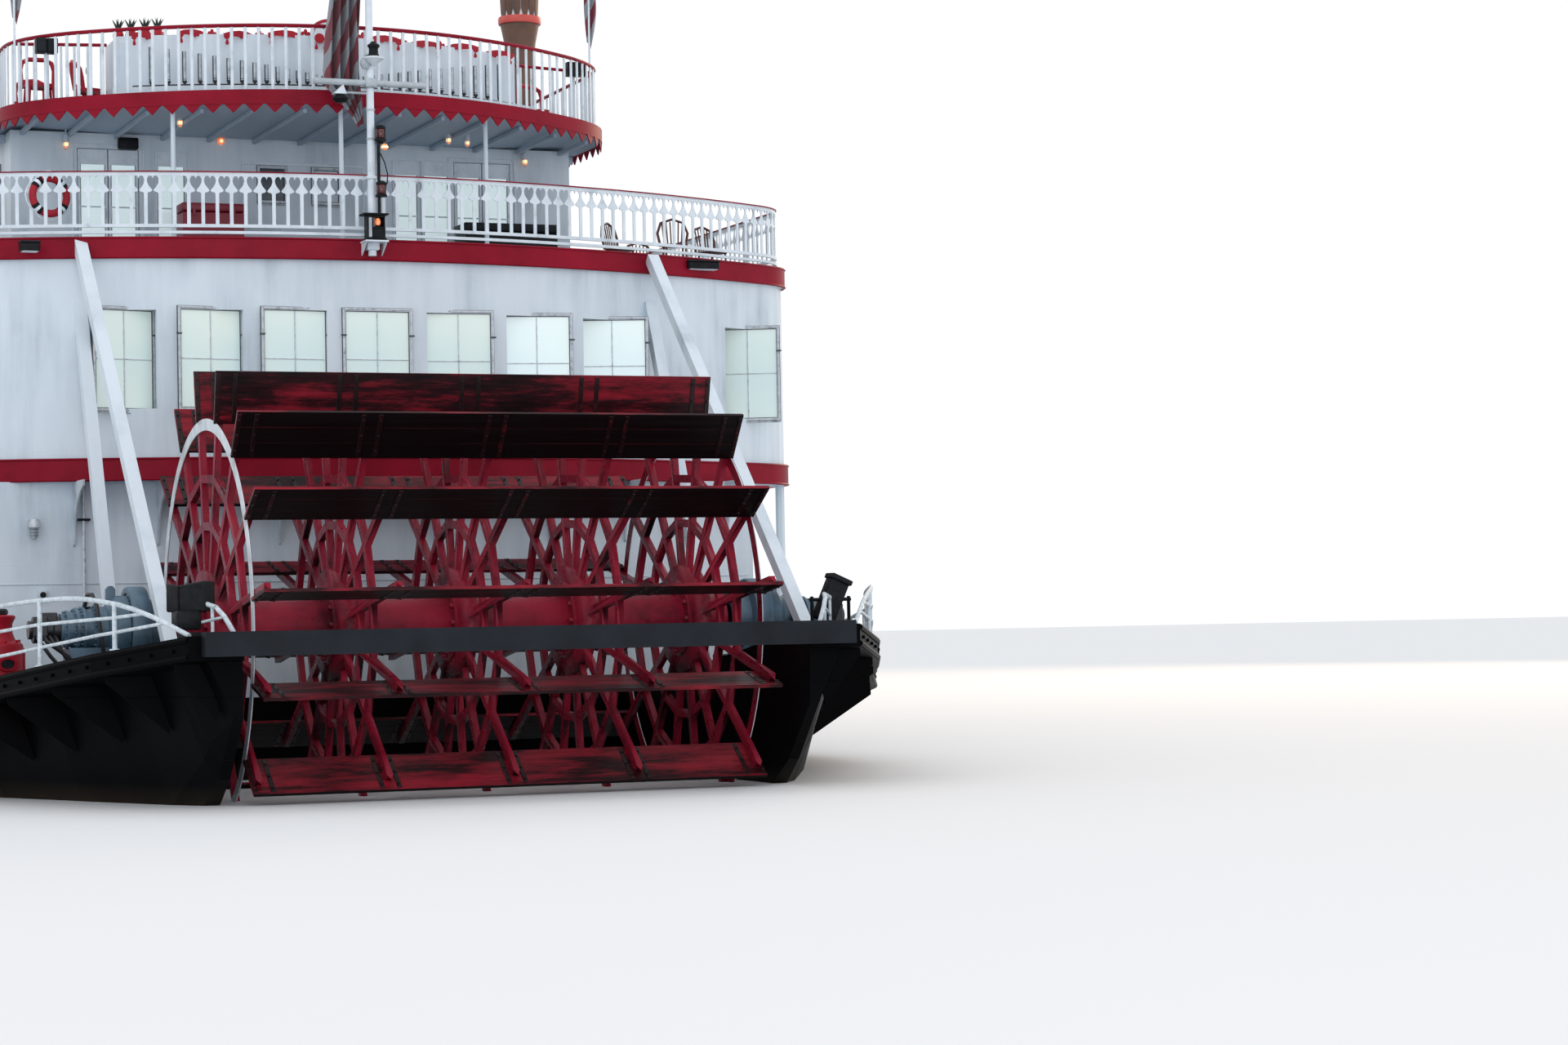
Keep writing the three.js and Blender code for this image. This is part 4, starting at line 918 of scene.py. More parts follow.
for way in (1, -1):
    stands = []
    for k in range(4):
        y = -way * (0.82 + 0.78 * k)
        stands.append((6.82 + ORGAN_BOW * y * y, y, 15.1 - 0.03 * (k % 2), math.atan(2 * ORGAN_BOW * y)))
    organ.append(repeated("scrolls", scroll(way), stands, scroll_red))
dome = [(0.36 * math.cos(math.pi * k / 20), 0.02 + 0.24 * math.sin(math.pi * k / 20)) for k in range(21)]
medal = [coated(cut_out(dome + [(-0.36, -0.16), (0.36, -0.16)]), rail_white)]
for outline in (
    oval(0.1, (0, -0.09)), oval(0.09, (-0.2, -0.1)), oval(0.09, (0.2, -0.1)),
    oval(0.05, (0, 0.14), 1.5), oval(0.045, (-0.1, 0.1), 0.7), oval(0.045, (0.1, 0.1), 0.7),
    [(s * 0.97, z * 0.97) for s, z in dome] + [(s * 0.8, z * 0.78) for s, z in dome[::-1]],
    *[[(s + shift, z - 0.25) for s, z in DROP] for shift in (-0.26, -0.1, 0.1, 0.26)],
):
    medal.append(coated(cut_out(outline, 0.012), scroll_red))
organ.append(repeated("medallion", joined("medal", medal), [(6.8, 0.1, 15.15, 0)]))
fruit = [coated(turned("fruit", [(0, 0), (0.05, 0), (0.09, 0.05), (0.1, 0.13), (0.08, 0.21), (0.03, 0.26),
    (0, 0.26)], (0, 0, 0), sides=14), scroll_red)]
for end, radius in [((*at, 0.4), 0.035) for at in around(7, 0.11)] + [((0, 0, 0.43), 0.03)]:
    fruit.append(coated(rod("leaf", (0, 0, 0.23), end, radius, 5, tip=0.003, edge=0.001), crown_green))
pineapples = repeated("pineapples", joined("fruit", fruit), [(7.02 + ORGAN_BOW * y * y, y, 15.02, 0)
    for y in (3.63, 3.43, 3.2, 3.0)])
shelf = coated(ribbon("shelf", organ_line(7.0, 3.66)[:9], 14.99, 15.02, 0.28, False), rail_white)
fitted(joined("steam_organ_dressed", organ + [pineapples, shelf]),
    instead_of=["steam_organ"])

# Stacks. Rolled steel painted brown, with riveted seams, a coral-red ring round the neck and a crown of
# bent petals that spread at the top.
stack_brown = mottled("brown_stack_paint", [(0.3, "6f5041"), (0.55, "634536"), (0.75, "4b342b")], 3, 0.15,
    roughness=0.55)
coral = mottled("coral_red_paint", [(0.3, "d8584c"), (0.7, "c24a42")], 8, roughness=0.45)


def bent(name, rows, thick):
    """A curved sheet through rows of full-size points, with its thickness."""
    bpy.ops.mesh.primitive_grid_add(x_subdivisions=len(rows[0]) - 1, y_subdivisions=len(rows) - 1)
    piece = settled(name)
    for vertex, corner in zip(piece.data.vertices, [corner for row in rows for corner in row]):
        vertex.co = place(*corner)
    return faced_out(worked(piece, "SOLIDIFY", thickness=thick / 2, offset=0))


STACK_X = 15.3
PETAL = [(17.29, 0.372, 0.55), (17.42, 0.385, 0.92), (17.7, 0.4, 0.95), (18.1, 0.425, 0.95),
    (18.45, 0.49, 0.95), (18.7, 0.57, 0.92), (18.84, 0.62, 0.75), (18.89, 0.635, 0.4)]
for name, y in (("port", 6.2), ("stbd", -6.2)):
    tube = [
        turned("tube", [(0, 11.22), (0.5, 11.22), (0.5, 11.3), (0.34, 11.32), (0.32, 11.42), (0.315, 11.44),
            (0.315, 16.6), (0.33, 16.75), (0.4, 17.1), (0.4, 17.26), (0.35, 17.3), (0, 17.3)],
            (STACK_X, y, 0), sides=48),
        *[turned("seam", [(0.3, z - 0.03), (0.325, z - 0.03), (0.325, z + 0.03), (0.3, z + 0.03)],
            (STACK_X, y, 0), sides=48) for z in (12.6, 14.0, 15.4, 16.6)]]
    tube = joined("tube", tube, stack_brown)
    petals = []
    for k in range(14):
        rows = []
        for z, radius, share in PETAL:
            spread = [math.tau / 14 * (k + 0.5 * share * (c - 2) / 2) for c in range(5)]
            rows.append([(STACK_X + radius * math.cos(a), y + radius * math.sin(a), z) for a in spread])
        petals.append(bent("petal", rows, 0.014))
    crown = joined("crown", petals, stack_brown)
    lining = coated(turned("lining", [(0.355, 17.26), (0.365, 17.26), (0.38, 17.62), (0.37, 17.62),
        (0.355, 17.26)], (STACK_X, y, 0), sides=40), rail_white)
    collar = coated(turned("collar", [(0.39, 17.13), (0.44, 17.13), (0.45, 17.16), (0.45, 17.25),
        (0.44, 17.28), (0.39, 17.28), (0.39, 17.13)], (STACK_X, y, 0), sides=48), coral)
    fitted(joined(f"stack_{name}_dressed", [tube, crown, lining, collar]),
        instead_of=[f"stack_{name}"])

# Bearings and drive. The wheel's shaft ends in a cast bearing on a welded pedestal at each side.
# Hydraulic gearmotors are bolted to them in steps, painted machinery grey, with black motors and bent
# steel oil pipes outboard.
machine_grey = mottled("machinery_grey_enamel", [(0.3, "557084"), (0.55, "486070"), (0.75, "34444f")], 5,
    0.15, roughness=0.4)
motor_black = mottled("oily_black_iron", [(0.3, "101114"), (0.7, "26272b")], 14, 0.3, roughness=0.38)


def bolts_on(y, radius, count, size, side):
    """A ring of bolt heads round the shaft's line, facing outboard from y."""
    return [rod("bolt", (x, side * (y - 0.01), z), (x, side * (y + 0.035), z), size, 6, edge=size * 0.15)
        for x, z in around(count, radius, (0, AXLE), math.pi / count)]


for name, side in (("port", 1), ("stbd", -1)):
    way = "Y" if side > 0 else "-Y"

    def on_side(*points):
        """Full-size points of the port side, taken to this side."""
        return [(x, side * y, z) for x, y, z in points]

    casting = [turned("bearing", [(0.3, 4.6), (0.42, 4.62), (0.44, 4.9), (0.62, 4.92), (0.635, 4.95),
        (0.635, 5.17), (0.62, 5.2), (0.54, 5.2), (0.52, 5.17), (0.3, 5.17), (0.3, 4.6)], (0, 0, AXLE), way,
        48)]
    casting += bolts_on(5.165, 0.465, 24, 0.026, side)
    for x in (-0.3, 0.24):
        foot = on_side((x, 4.68, 3.88), (x, 5.27, 3.88), (x, 5.1, 4.35), (x, 5.1, 4.5), (x, 4.9, 4.5),
            (x, 4.9, 4.35))
        casting.append(plate("pedestal_web", foot, (0.06, 0, 0)))
    casting.append(bar("pedestal_core", *on_side((-0.5, 4.94, 3.88), (0.5, 5.08, 4.35)), 0.02))
    casting.append(bar("foot_plate", *on_side((-0.62, 4.6, 3.86), (0.62, 5.3, 4.0)), 0.015))
    casting.append(turned("lifting_eye", hollow(0.05, 0.09, 0, 0.09), (-0.36, side * 5.0, 4.17), sides=16))
    fitted(joined(f"bearing_{name}_dressed", casting, machine_grey),
        instead_of=[f"bearing_{name}"])
    gears = [turned("gearbox", [(0, 5.205), (0.5, 5.205), (0.5, 5.4), (0.44, 5.44), (0.38, 5.5),
        (0.34, 5.52), (0.34, 5.66), (0.37, 5.66), (0.37, 5.69), (0.3, 5.69), (0.3, 5.84), (0.34, 5.84),
        (0.34, 5.88), (0.29, 5.88), (0.29, 5.94), (0.33, 5.94), (0.33, 5.98), (0.27, 5.99), (0.27, 6.08),
        (0.29, 6.08), (0.29, 6.12), (0.24, 6.12), (0.24, 6.2), (0, 6.2)], (0, 0, AXLE), way, 40)]
    gears += bolts_on(5.69, 0.335, 20, 0.017, side) + bolts_on(5.88, 0.315, 20, 0.015, side)
    gears += bolts_on(5.98, 0.3, 18, 0.015, side) + bolts_on(6.12, 0.265, 16, 0.015, side)
    lug = on_side(*[(-0.06, y, z) for y, z in ((5.36, 5.05), (5.36, 5.2), (5.4, 5.25), (5.46, 5.25),
        (5.5, 5.2), (5.5, 4.98))])
    gears.append(plate("lifting_lug", lug, (0.12, 0, 0), 0.01))
    gears.append(bar("cradle", *on_side((-0.28, 5.34, 3.94), (0.28, 6.1, 4.32)), 0.02))
    gears = joined("gears", gears, machine_grey)
    motor = [
        turned("motor", [(0, 6.2), (0.2, 6.2), (0.2, 6.3), (0.17, 6.32), (0.17, 6.46), (0.2, 6.48),
            (0.2, 6.6), (0.14, 6.62), (0.14, 6.67), (0, 6.67)], (0, 0, AXLE), way, 24),
        bar("valve_block", *on_side((-0.16, 6.25, 4.72), (0.12, 6.5, 4.86)), 0.015),
        bar("port_block", *on_side((-0.2, 6.4, 4.5), (-0.1, 6.62, 4.8)), 0.015)]
    for y, spread in ((6.3, 0.0), (6.38, 0.09), (6.46, 0.2), (6.56, 0.05)):
        inner = y - spread
        motor.append(run("oil_pipe", on_side((-0.18, y, 4.5), (-0.3, y - 0.02, 4.42),
            (-0.33, inner - 0.12, 4.2), (-0.3, inner - 0.3, 4.0), (-0.2, inner - 0.5, 3.95)), 0.032))
    motor.append(run("oil_pipe", on_side((0.1, 5.8, 4.95), (-0.05, 5.78, 5.12), (-0.2, 5.74, 5.12),
        (-0.36, 5.7, 4.95), (-0.4, 5.66, 4.6), (-0.38, 5.6, 4.2), (-0.3, 5.5, 4.02)), 0.035))
    motor.append(run("drain_pipe", on_side((-0.1, 5.3, 4.1), (-0.38, 5.36, 4.05), (-0.42, 5.6, 3.98),
        (-0.4, 6.0, 3.95)), 0.025))
    motor = joined("motor", motor, motor_black)
    fitted(joined(f"drive_{name}_dressed", [gears, motor]), instead_of=[f"drive_{name}"])

# Capstans. Cast drums in red enamel turn on a welded base, with a waist for the line, a black cap and an
# oval hand hole in the drum.
DRUM = [(0, 0), (0.46, 0), (0.46, 0.04), (0.45, 0.06), (0.45, 0.6), (0.43, 0.64), (0.34, 0.68),
    (0.32, 0.72), (0.29, 0.8), (0.28, 0.88), (0.29, 0.96), (0.33, 1.04), (0.33, 1.07), (0.3, 1.09),
    (0, 1.09)]
for name, x, y, turn in (("port", 2.4, 6.8, 0.3), ("stbd", 2.4, -6.8, -0.3), ("bow", 47, 0, math.pi)):
    base = deck_top(x - 0.52 if x < 7 else x + 0.52) + 0.07
    drum = coated(turned("drum", DRUM, (0, 0, 0), sides=48), scroll_red)
    cap = coated(turned("cap", [(0, 1.09), (0.2, 1.09), (0.22, 1.11), (0.22, 1.16), (0.19, 1.19),
        (0, 1.19)], (0, 0, 0)), motor_black)
    hole = coated(turned("hole_rim", hollow(0.1, 0.14, 0, 0.03), (0, 0, 0)), scroll_red)
    shade_in = coated(turned("hole", [(0, 0), (0.11, 0), (0.11, 0.012), (0, 0.012)], (0, 0, 0)),
        motor_black)
    eye = joined("eye", [hole, shade_in])
    on_edge = Matrix.Rotation(-math.pi / 2, 4, "Y") @ Matrix.Diagonal((0.75, 1.2, 1, 1))
    eye.data.transform(stood_at((-0.45, 0, 0.32), on_edge))
    whelp = bar("whelp", (-0.475, -0.03, 0.1), (-0.44, 0.03, 0.56), 0.012)
    whelps = repeated("whelps", whelp, [(0, 0, 0, math.radians(60 * k)) for k in range(1, 6)], scroll_red)
    nuts = [rod("nut", (*at, 0.655), (*at, 0.7), 0.022, 6, edge=0.004) for at in around(10, 0.39)]
    whole = joined("capstan", [drum, cap, eye, whelps] + painted(scroll_red, *nuts))
    fitted(repeated(f"capstan_{name}_dressed", whole, [(x, y, base, turn)]), f"{name}_capstan",
        instead_of=[f"capstan_{name}"])

# Flagstaff. A white pole is strapped to the third deck's edge and to its rail, with a yard and a small
# lamp platform. A black pole beside it carries the stern lamps, down to a lamp house on a white bracket.
lamp_black = mottled("black_lamp_enamel", [(0.3, "0f1113"), (0.7, "1f2225")], 26, 0.2, roughness=0.45,
    specular_ior_level=0.12)
lens_red = mottled("red_lamp_glass", [(0.3, "5a0d12"), (0.7, "36070b")], 9, roughness=0.15, coat_weight=0.5)
amber = mottled("lit_amber_glass", [(0.3, "ffb48a"), (0.7, "e0703c")], 40, roughness=0.2,
    emission_color=linear("ff8a4c"), emission_strength=0.6)
lit_core = mottled("glowing_filament_glass", [(0.3, "ffe6c0"), (0.7, "ffc890")], 30, roughness=0.2,
    emission_color=linear("ffd8a0"), emission_strength=1.1)
yard_grey = mottled("grey_yard_paint", [(0.35, "b9c2c8"), (0.7, "8f9aa1")], 7, 0.15, roughness=0.5)
STAFF_AXIS = (4.42, 0)
staff = [
    coated(rod("pole", (*STAFF_AXIS, 10.9), (*STAFF_AXIS, 17.5), 0.07, 24, tip=0.055), rail_white),
    coated(turned("truck", [(0, 0), (0.06, 0), (0.1, 0.04), (0.1, 0.08), (0.05, 0.13), (0, 0.14)],
        (*STAFF_AXIS, 17.46)), band_red),
    *painted(rail_white,
        bar("rail_clamp", (4.34, -0.09, 12.22), (4.66, 0.09, 12.28)),
        bar("deck_strap", (4.33, -0.11, 11.0), (4.56, 0.11, 11.14), 0.012)),
    *painted(yard_grey,
        rod("yard", (4.38, -0.98, 13.87), (4.38, 1.0, 13.87), 0.055, 16),
        bar("yard_clamp", (4.3, -0.1, 13.79), (4.5, 0.1, 13.95), 0.015)),
    coated(turned("platform", [(0, 0), (0.03, 0), (0.15, 0.1), (0.17, 0.11), (0.175, 0.14), (0, 0.14)],
        (4.26, -0.03, 14.16)), rail_white),
    coated(turned("lantern", [(0, 0), (0.1, 0), (0.1, 0.03), (0.085, 0.05), (0.075, 0.14), (0.09, 0.17),
        (0.105, 0.18), (0.105, 0.21), (0.06, 0.24), (0.04, 0.27), (0, 0.27)], (4.26, -0.03, 14.3)),
        lamp_black),
    *painted(yard_grey,
        turned("globe", [(0, 0), (0.05, 0.01), (0.085, 0.07), (0.085, 0.14), (0.05, 0.2), (0, 0.21)],
            (4.34, 0.1, 14.1), sides=16),
        run("globe_arm", [(4.34, 0.1, 14.3), (4.34, 0.1, 14.34), (4.38, 0.0, 14.36)], 0.02))]
for z in (13.4, 12.9):
    staff.append(coated(turned("strap", [(0.05, 0), (0.078, 0), (0.078, 0.03), (0.05, 0.03)],
        (*STAFF_AXIS, z)), yard_grey))
staff += [
    coated(plate("hood_bracket", [(4.3, 0.44, 13.66), (4.3, 0.66, 13.66), (4.3, 0.5, 13.82)], (0.2, 0, 0)),
        rail_white),
    coated(rod("hood_arm", (*STAFF_AXIS, 13.7), (4.42, 0.6, 13.7), 0.022, 8), yard_grey),
    coated(turned("hood", [(0, 0.1), (0.04, 0.1), (0.14, 0.02), (0.14, 0), (0.08, -0.06), (0, -0.07)],
        (4.4, 0.53, 13.58), sides=24), lamp_black)]
LAMP_POLE = (4.3, -0.1)
STERN_LAMP = (4.3, -0.14)
for low, high, radius in ((12.55, 12.9, 0.03), (11.6, 12.95, 0.028)):
    staff.append(coated(rod("lamp_pole", (*LAMP_POLE, low), (*LAMP_POLE, high), radius), lamp_black))
for z in (12.92, 11.96):
    staff.append(coated(turned("lamp_base", [(0, 0), (0.1, 0), (0.1, 0.03), (0.07, 0.05), (0, 0.05)],
        (*STERN_LAMP, z - 0.05)), lamp_black))
    staff.append(coated(turned("red_lens", [(0.068, 0), (0.08, 0.02), (0.084, 0.08), (0.08, 0.14),
        (0.068, 0.16), (0, 0.16), (0, 0)], (*STERN_LAMP, z)), lens_red))
    staff.append(coated(turned("lamp_cap", [(0, 0), (0.085, 0), (0.09, 0.03), (0.06, 0.06), (0, 0.07)],
        (*STERN_LAMP, z + 0.16)), lamp_black))
    for at in around(4, 0.088, STERN_LAMP, math.pi / 4):
        staff.append(coated(rod("guard", (*at, z - 0.03), (*at, z + 0.17), 0.007, 6, edge=0), lamp_black))
for finish, lens in ((amber, [(0, 0), (0.035, 0.01), (0.058, 0.05), (0.05, 0.09), (0.025, 0.11),
        (0, 0.11)]), (lit_core, [(0, 0.03), (0.059, 0.035), (0.063, 0.05), (0.059, 0.07), (0, 0.075)])):
    staff.append(coated(turned("bulb", lens, (4.26, -0.2, 12.71), sides=20), finish))
staff += painted(lamp_black,
    run("bulb_arm", [(4.3, -0.1, 12.84), (4.27, -0.18, 12.84)], 0.02),
    run("conduit", [(4.3, -0.13, 12.66), (4.28, -0.2, 12.5), (4.28, -0.25, 12.3), (4.28, -0.24, 12.15),
        (4.3, -0.18, 12.04)], 0.01, 6))
for low, high in (((4.16, -0.19, 11.15), (4.42, 0.16, 11.19)), ((4.12, -0.22, 11.58), (4.46, 0.22, 11.61)),
        ((4.18, 0.12, 11.19), (4.4, 0.14, 11.58)), ((4.18, -0.17, 11.19), (4.4, -0.15, 11.58)),
        ((4.4, -0.17, 11.19), (4.42, 0.14, 11.58)), ((4.18, -0.17, 11.19), (4.2, 0.06, 11.36)),
        ((4.17, 0.04, 11.19), (4.2, 0.06, 11.58)), ((4.17, -0.17, 11.35), (4.2, 0.06, 11.38)),
        ((4.17, -0.17, 11.54), (4.2, 0.14, 11.58))):
    staff.append(coated(bar("lamp_house", low, high, 0.006), lamp_black))
staff.append(coated(bar("house_side", (4.175, 0.065, 11.2), (4.19, 0.12, 11.54), 0.004), yard_grey))
staff.append(coated(turned("house_lamp", [(0, 0), (0.05, 0), (0.05, 0.03), (0, 0.03)],
    (4.26, -0.06, 11.38)), lamp_black))
staff.append(coated(turned("house_bulb", [(0, 0), (0.035, 0.01), (0.05, 0.06), (0.03, 0.12), (0, 0.13)],
    (4.26, -0.06, 11.41), sides=16), amber))
for y in (-0.2, 0.15):
    staff.append(coated(plate("shelf_web", [(4.56, y, 10.88), (4.56, y, 11.13), (4.16, y, 11.13)],
        (0, 0.02, 0)), rail_white))
staff.append(coated(bar("shelf", (4.14, -0.22, 11.12), (4.56, 0.19, 11.15), 0.006), rail_white))
staff = joined("flagstaff_dressed", staff)
staff.data.transform(Matrix.Translation((0, 0.02, 0)))
fitted(staff, instead_of=["flagstaff"])

# Stern flag. Striped bunting sewn from red and white strips, lashed to the staff by its hoist, so that it
# hangs in close upright folds. The white strips are painted grey, as the shade they hang in.
bunting = material("striped_bunting", base_color="7c2434", roughness=0.85, sheen_weight=0.25)
seat = node(bunting, "TexCoord").outputs["Object"]
sag = node(bunting, "TexNoise", {"Scale": 2.2, "Detail": 2}, {"Vector": seat})
across = node(bunting, "VectorMath", {"operation": "DOT_PRODUCT", 1: (0.3, 1.0, 0.5)}, {0: seat})
bent_line = node(bunting, "Math", {"operation": "MULTIPLY_ADD", 1: 0.22},
    {0: sag.outputs["Fac"], 2: across.outputs["Value"]})
strips_in = node(bunting, "Math", {"operation": "MULTIPLY", 1: 6.0}, {0: bent_line.outputs[0]})
share = node(bunting, "Math", {"operation": "FRACT"}, {0: strips_in.outputs[0]})
# Painted shade: the white strips are painted grey, as the shade they hang in.
strip = node(bunting, "ValToRGB", {"steps": [(0, "6d1f2f"), (0.5, "83878d")]}, {0: share.outputs[0]})
weave = node(bunting, "TexNoise", {"Scale": 160, "Detail": 2}, {"Vector": seat})
relief = node(bunting, "Bump", {"Strength": 0.3, "Distance": 0.001}, {"Height": weave.outputs["Fac"]})
shade(bunting, base_color=strip.outputs["Color"], normal=relief.outputs[0])
FOLDS = 4
HANG = [(17.2, 0.16, 0.1), (16.7, 0.34, 0.16), (16.1, 0.44, 0.2), (15.4, 0.54, 0.22), (14.7, 0.6, 0.22),
    (14.2, 0.63, 0.2), (13.95, 0.62, 0.18), (13.75, 0.46, 0.16), (13.55, 0.3, 0.12), (13.35, 0.17, 0.08),
    (13.2, 0.1, 0.05)]
rows = []
for z, wide, deep in HANG:
    row = []
    for c in range(8 * FOLDS + 1):
        u = c / (8 * FOLDS)
        swing = math.sin(math.tau * FOLDS * u + 0.5 * math.sin(z * 2.3))
        lean = 0.1 * u * math.sin(z * 1.7)
        row.append((4.56 + 0.9 * deep + 0.9 * deep * swing, 0.12 + wide * u + 0.012 * swing,
            z - 0.06 * u * u + lean * 0.2))
    rows.append(row)
flag = fitted(coated(bent("flag_cloth", rows, 0.006), bunting), instead_of=["stern_flag"])

# Third-house doors. Each leaf is a thin white aluminium frame round two panes, over the cream blind
# inside; the panes glow, a painted reflection of the bright sky. Fixed lights of the same make stand beside
# them.
# Painted reflection: the door glass glows, standing in for the bright sky reflected in it.
door_glass = mottled("pale_door_glass", [(0.3, "dcebec"), (0.7, "cfe3e4")], 1.2, roughness=0.12,
    emission_color=linear("d9ecec"), emission_strength=0.42)
HEAD = 13.05


def glazed(y0, y1, z0, z1, x=9.63):
    """A glazed leaf or light between two full-size corners, under a plain head panel."""
    low, high = min(y0, y1), max(y0, y1)
    inner, outer, sill = low + 0.045, high - 0.045, z0 + 0.09
    parts = []
    for a, b in (((low, z0), (inner, z1)), ((outer, z0), (high, z1)), ((inner, z0), (outer, sill)),
            ((inner, HEAD), (outer, z1)), ((inner, 12.266), (outer, 12.294))):
        parts.append(coated(bar("stile", (x - 0.025, *a), (x + 0.025, *b), 0.005), rail_white))
    parts.append(coated(bar("pane", (x - 0.006, inner, sill), (x + 0.006, outer, HEAD), 0.002), door_glass))
    for a, b in (((inner, sill), (inner + 0.012, HEAD)), ((outer - 0.012, sill), (outer, HEAD))):
        parts.append(coated(bar("bead", (x - 0.014, *a), (x + 0.014, *b), 0.003), gasket))
    return parts


for name, hinge, meeting in (("port_outer", 4.11, 3.55), ("port_inner", 2.99, 3.55),
        ("stbd_inner", -2.99, -3.55), ("stbd_outer", -4.11, -3.55)):
    inward = 1 if meeting > hinge else -1
    leaf = glazed(hinge + inward * 0.012, meeting - inward * 0.008, 11.21, 13.33)
    grip = meeting - inward * 0.05
    leaf.append(coated(rod("pull", (9.575, grip, 12.05), (9.575, grip, 12.25), 0.012, 8), window_metal))
    pin = hinge + inward * 0.02
    for z in (11.5, 12.3, 13.1):
        leaf.append(coated(rod("hinge", (9.605, pin, z), (9.605, pin, z + 0.08), 0.014, 8), window_metal))
    fitted(joined(f"door_{name}_dressed", leaf), f"{name}_leaf", instead_of=[f"door_{name}"])
lights = []
for y0, y1, z0 in ((2.7, 2.12, 11.22), (-1.78, -2.3, 11.22), (-2.34, -2.9, 11.22)):
    lights += glazed(y0, y1, z0, 13.33, x=9.585)
for low, high, z1 in ((2.92, 4.18, 13.36), (-1.2, 1.05, 13.15), (-4.18, -2.92, 13.36)):
    for a, b in (((low, z1), (high, z1 + 0.06)), ((low - 0.04, 11.2), (low, z1 + 0.06)),
            ((high, 11.2), (high + 0.04, z1 + 0.06))):
        lights.append(coated(bar("casing", (9.575, *a), (9.6, *b), 0.006), rail_white))
fitted(joined("third_house_lights", lights))

# Third-deck furniture. A crimson steel deck box with a lid, a black life-jacket box, and steel chairs
# painted brown with spindle backs stand behind the rail.
box_red = mottled("dark_red_box_enamel", [(0.3, "951d33"), (0.7, "7f182b")], 3, 0.1, roughness=0.4)
box_black = mottled("black_box_enamel", [(0.3, "14171a"), (0.7, "22262a")], 5, 0.1, roughness=0.5,
    specular_ior_level=0.15)
chair_brown = mottled("brown_chair_enamel", [(0.3, "5f2c22"), (0.7, "3f1f19")], 12, 0.1, roughness=0.45)


def locker(name, low, high, finish):
    """A deck box on feet, with a lid that overhangs and a seam below it."""
    (x0, y0, z0), (x1, y1, z1) = low, high
    parts = [
        bar("body", (x0, y0, z0 + 0.05), (x1, y1, z1 - 0.16), 0.02),
        bar("lid", (x0 - 0.025, y0 - 0.025, z1 - 0.15), (x1 + 0.025, y1 + 0.025, z1), 0.03, 2),
        bar("plinth", (x0 + 0.04, y0 + 0.04, z0), (x1 - 0.04, y1 - 0.04, z0 + 0.06))]
    for y in (y0 + 0.2, y1 - 0.2):
        parts.append(bar("hasp", (x0 - 0.035, y - 0.03, z1 - 0.24), (x0 - 0.005, y + 0.03, z1 - 0.1),
            0.006))
        parts.append(rod("hinge", (x1 + 0.01, y - 0.06, z1 - 0.16), (x1 + 0.01, y + 0.06, z1 - 0.16), 0.014,
            8))
    return joined(name, parts, finish)


fitted(locker("crimson_deck_box", (8.6, 1.28, 11.2), (9.25, 2.4, 12.28), box_red))
fitted(locker("black_deck_box", (8.25, -4.6, 11.2), (8.95, -2.8, 12.03), box_black))


def spindle_chair(finish):
    """A deck chair at the full-size origin, facing aft: seat, four legs, bent back hoop and spindles."""
    hoop = [(0.2, -0.24, 0.44), (0.24, -0.29, 0.7), (0.27, -0.22, 0.9), (0.28, 0, 0.97), (0.27, 0.22, 0.9),
        (0.24, 0.29, 0.7), (0.2, 0.24, 0.44)]
    parts = [run("hoop", hoop, 0.026), bar("seat", (-0.2, -0.22, 0.42), (0.22, 0.22, 0.46), 0.02, 2)]
    for y in (-0.2, -0.12, -0.04, 0.04, 0.12, 0.2):
        parts.append(rod("spindle", (0.2, y * 0.8, 0.45), (0.275, y, 0.92), 0.014, 6, edge=0))
    for x, y in ((-0.16, -0.18), (-0.16, 0.18), (0.18, -0.18), (0.18, 0.18)):
        parts.append(rod("leg", (x * 1.25, y * 1.15, 0), (x, y, 0.43), 0.018, 8, edge=0))
    for y in (-0.17, 0.17):
        parts.append(rod("stretcher", (-0.18, y, 0.18), (0.19, y, 0.18), 0.011, 6, edge=0))
    return joined("chair", parts, finish)


stands = [(x, y, THIRD_TOP + 0.01, turn) for x, y, turn in ((8.7, -6.0, 0.7), (7.75, -6.75, -0.2),
    (8.75, -7.9, 0.4), (11.5, -7.5, 0.1), (8.6, 6.6, 0.2), (10.0, 7.2, -0.3), (14, 6.9, 1.5),
    (16.6, -6.9, -1.5))]
fitted(repeated("third_deck_chairs", spindle_chair(chair_brown), stands))

# Life ring. A closed-cell ring in red cloth with grey reflecting bands and a grab line, lashed behind the
# rail.
RING_AT = (5.72, 5.28, 11.93)


def ring_arc(start, end, count, reach=0.3):
    """Places along the life ring, between two angles in degrees."""
    angles = [math.radians(start + (end - start) * k / count) for k in range(count + 1)]
    return [(RING_AT[0] - 0.2 * reach * math.cos(a), RING_AT[1] + 0.98 * reach * math.cos(a),
        RING_AT[2] + reach * math.sin(a)) for a in angles]


ring = coated(run("life_ring", ring_arc(0, 360, 48)[:-1], 0.065, 24, True), scroll_red)
bands = []
for k in range(4):
    for start, end, finish in ((-16, -5, lamp_black), (-5, 5, rail_white), (5, 16, lamp_black)):
        bands.append(coated(run("band", ring_arc(45 + 90 * k + start, 45 + 90 * k + end, 4), 0.068, 24),
            finish))
    bands.append(coated(run("grab_line", [ring_arc(45 + 90 * k, 135 + 90 * k, 6, 0.375 + 0.035 * rise)[c]
        for c, rise in enumerate((-0.3, 0.7, 1.2, 1.4, 1.2, 0.7, -0.3))], 0.012, 6), rail_white))
fitted(joined("life_ring_dressed", [ring] + bands))

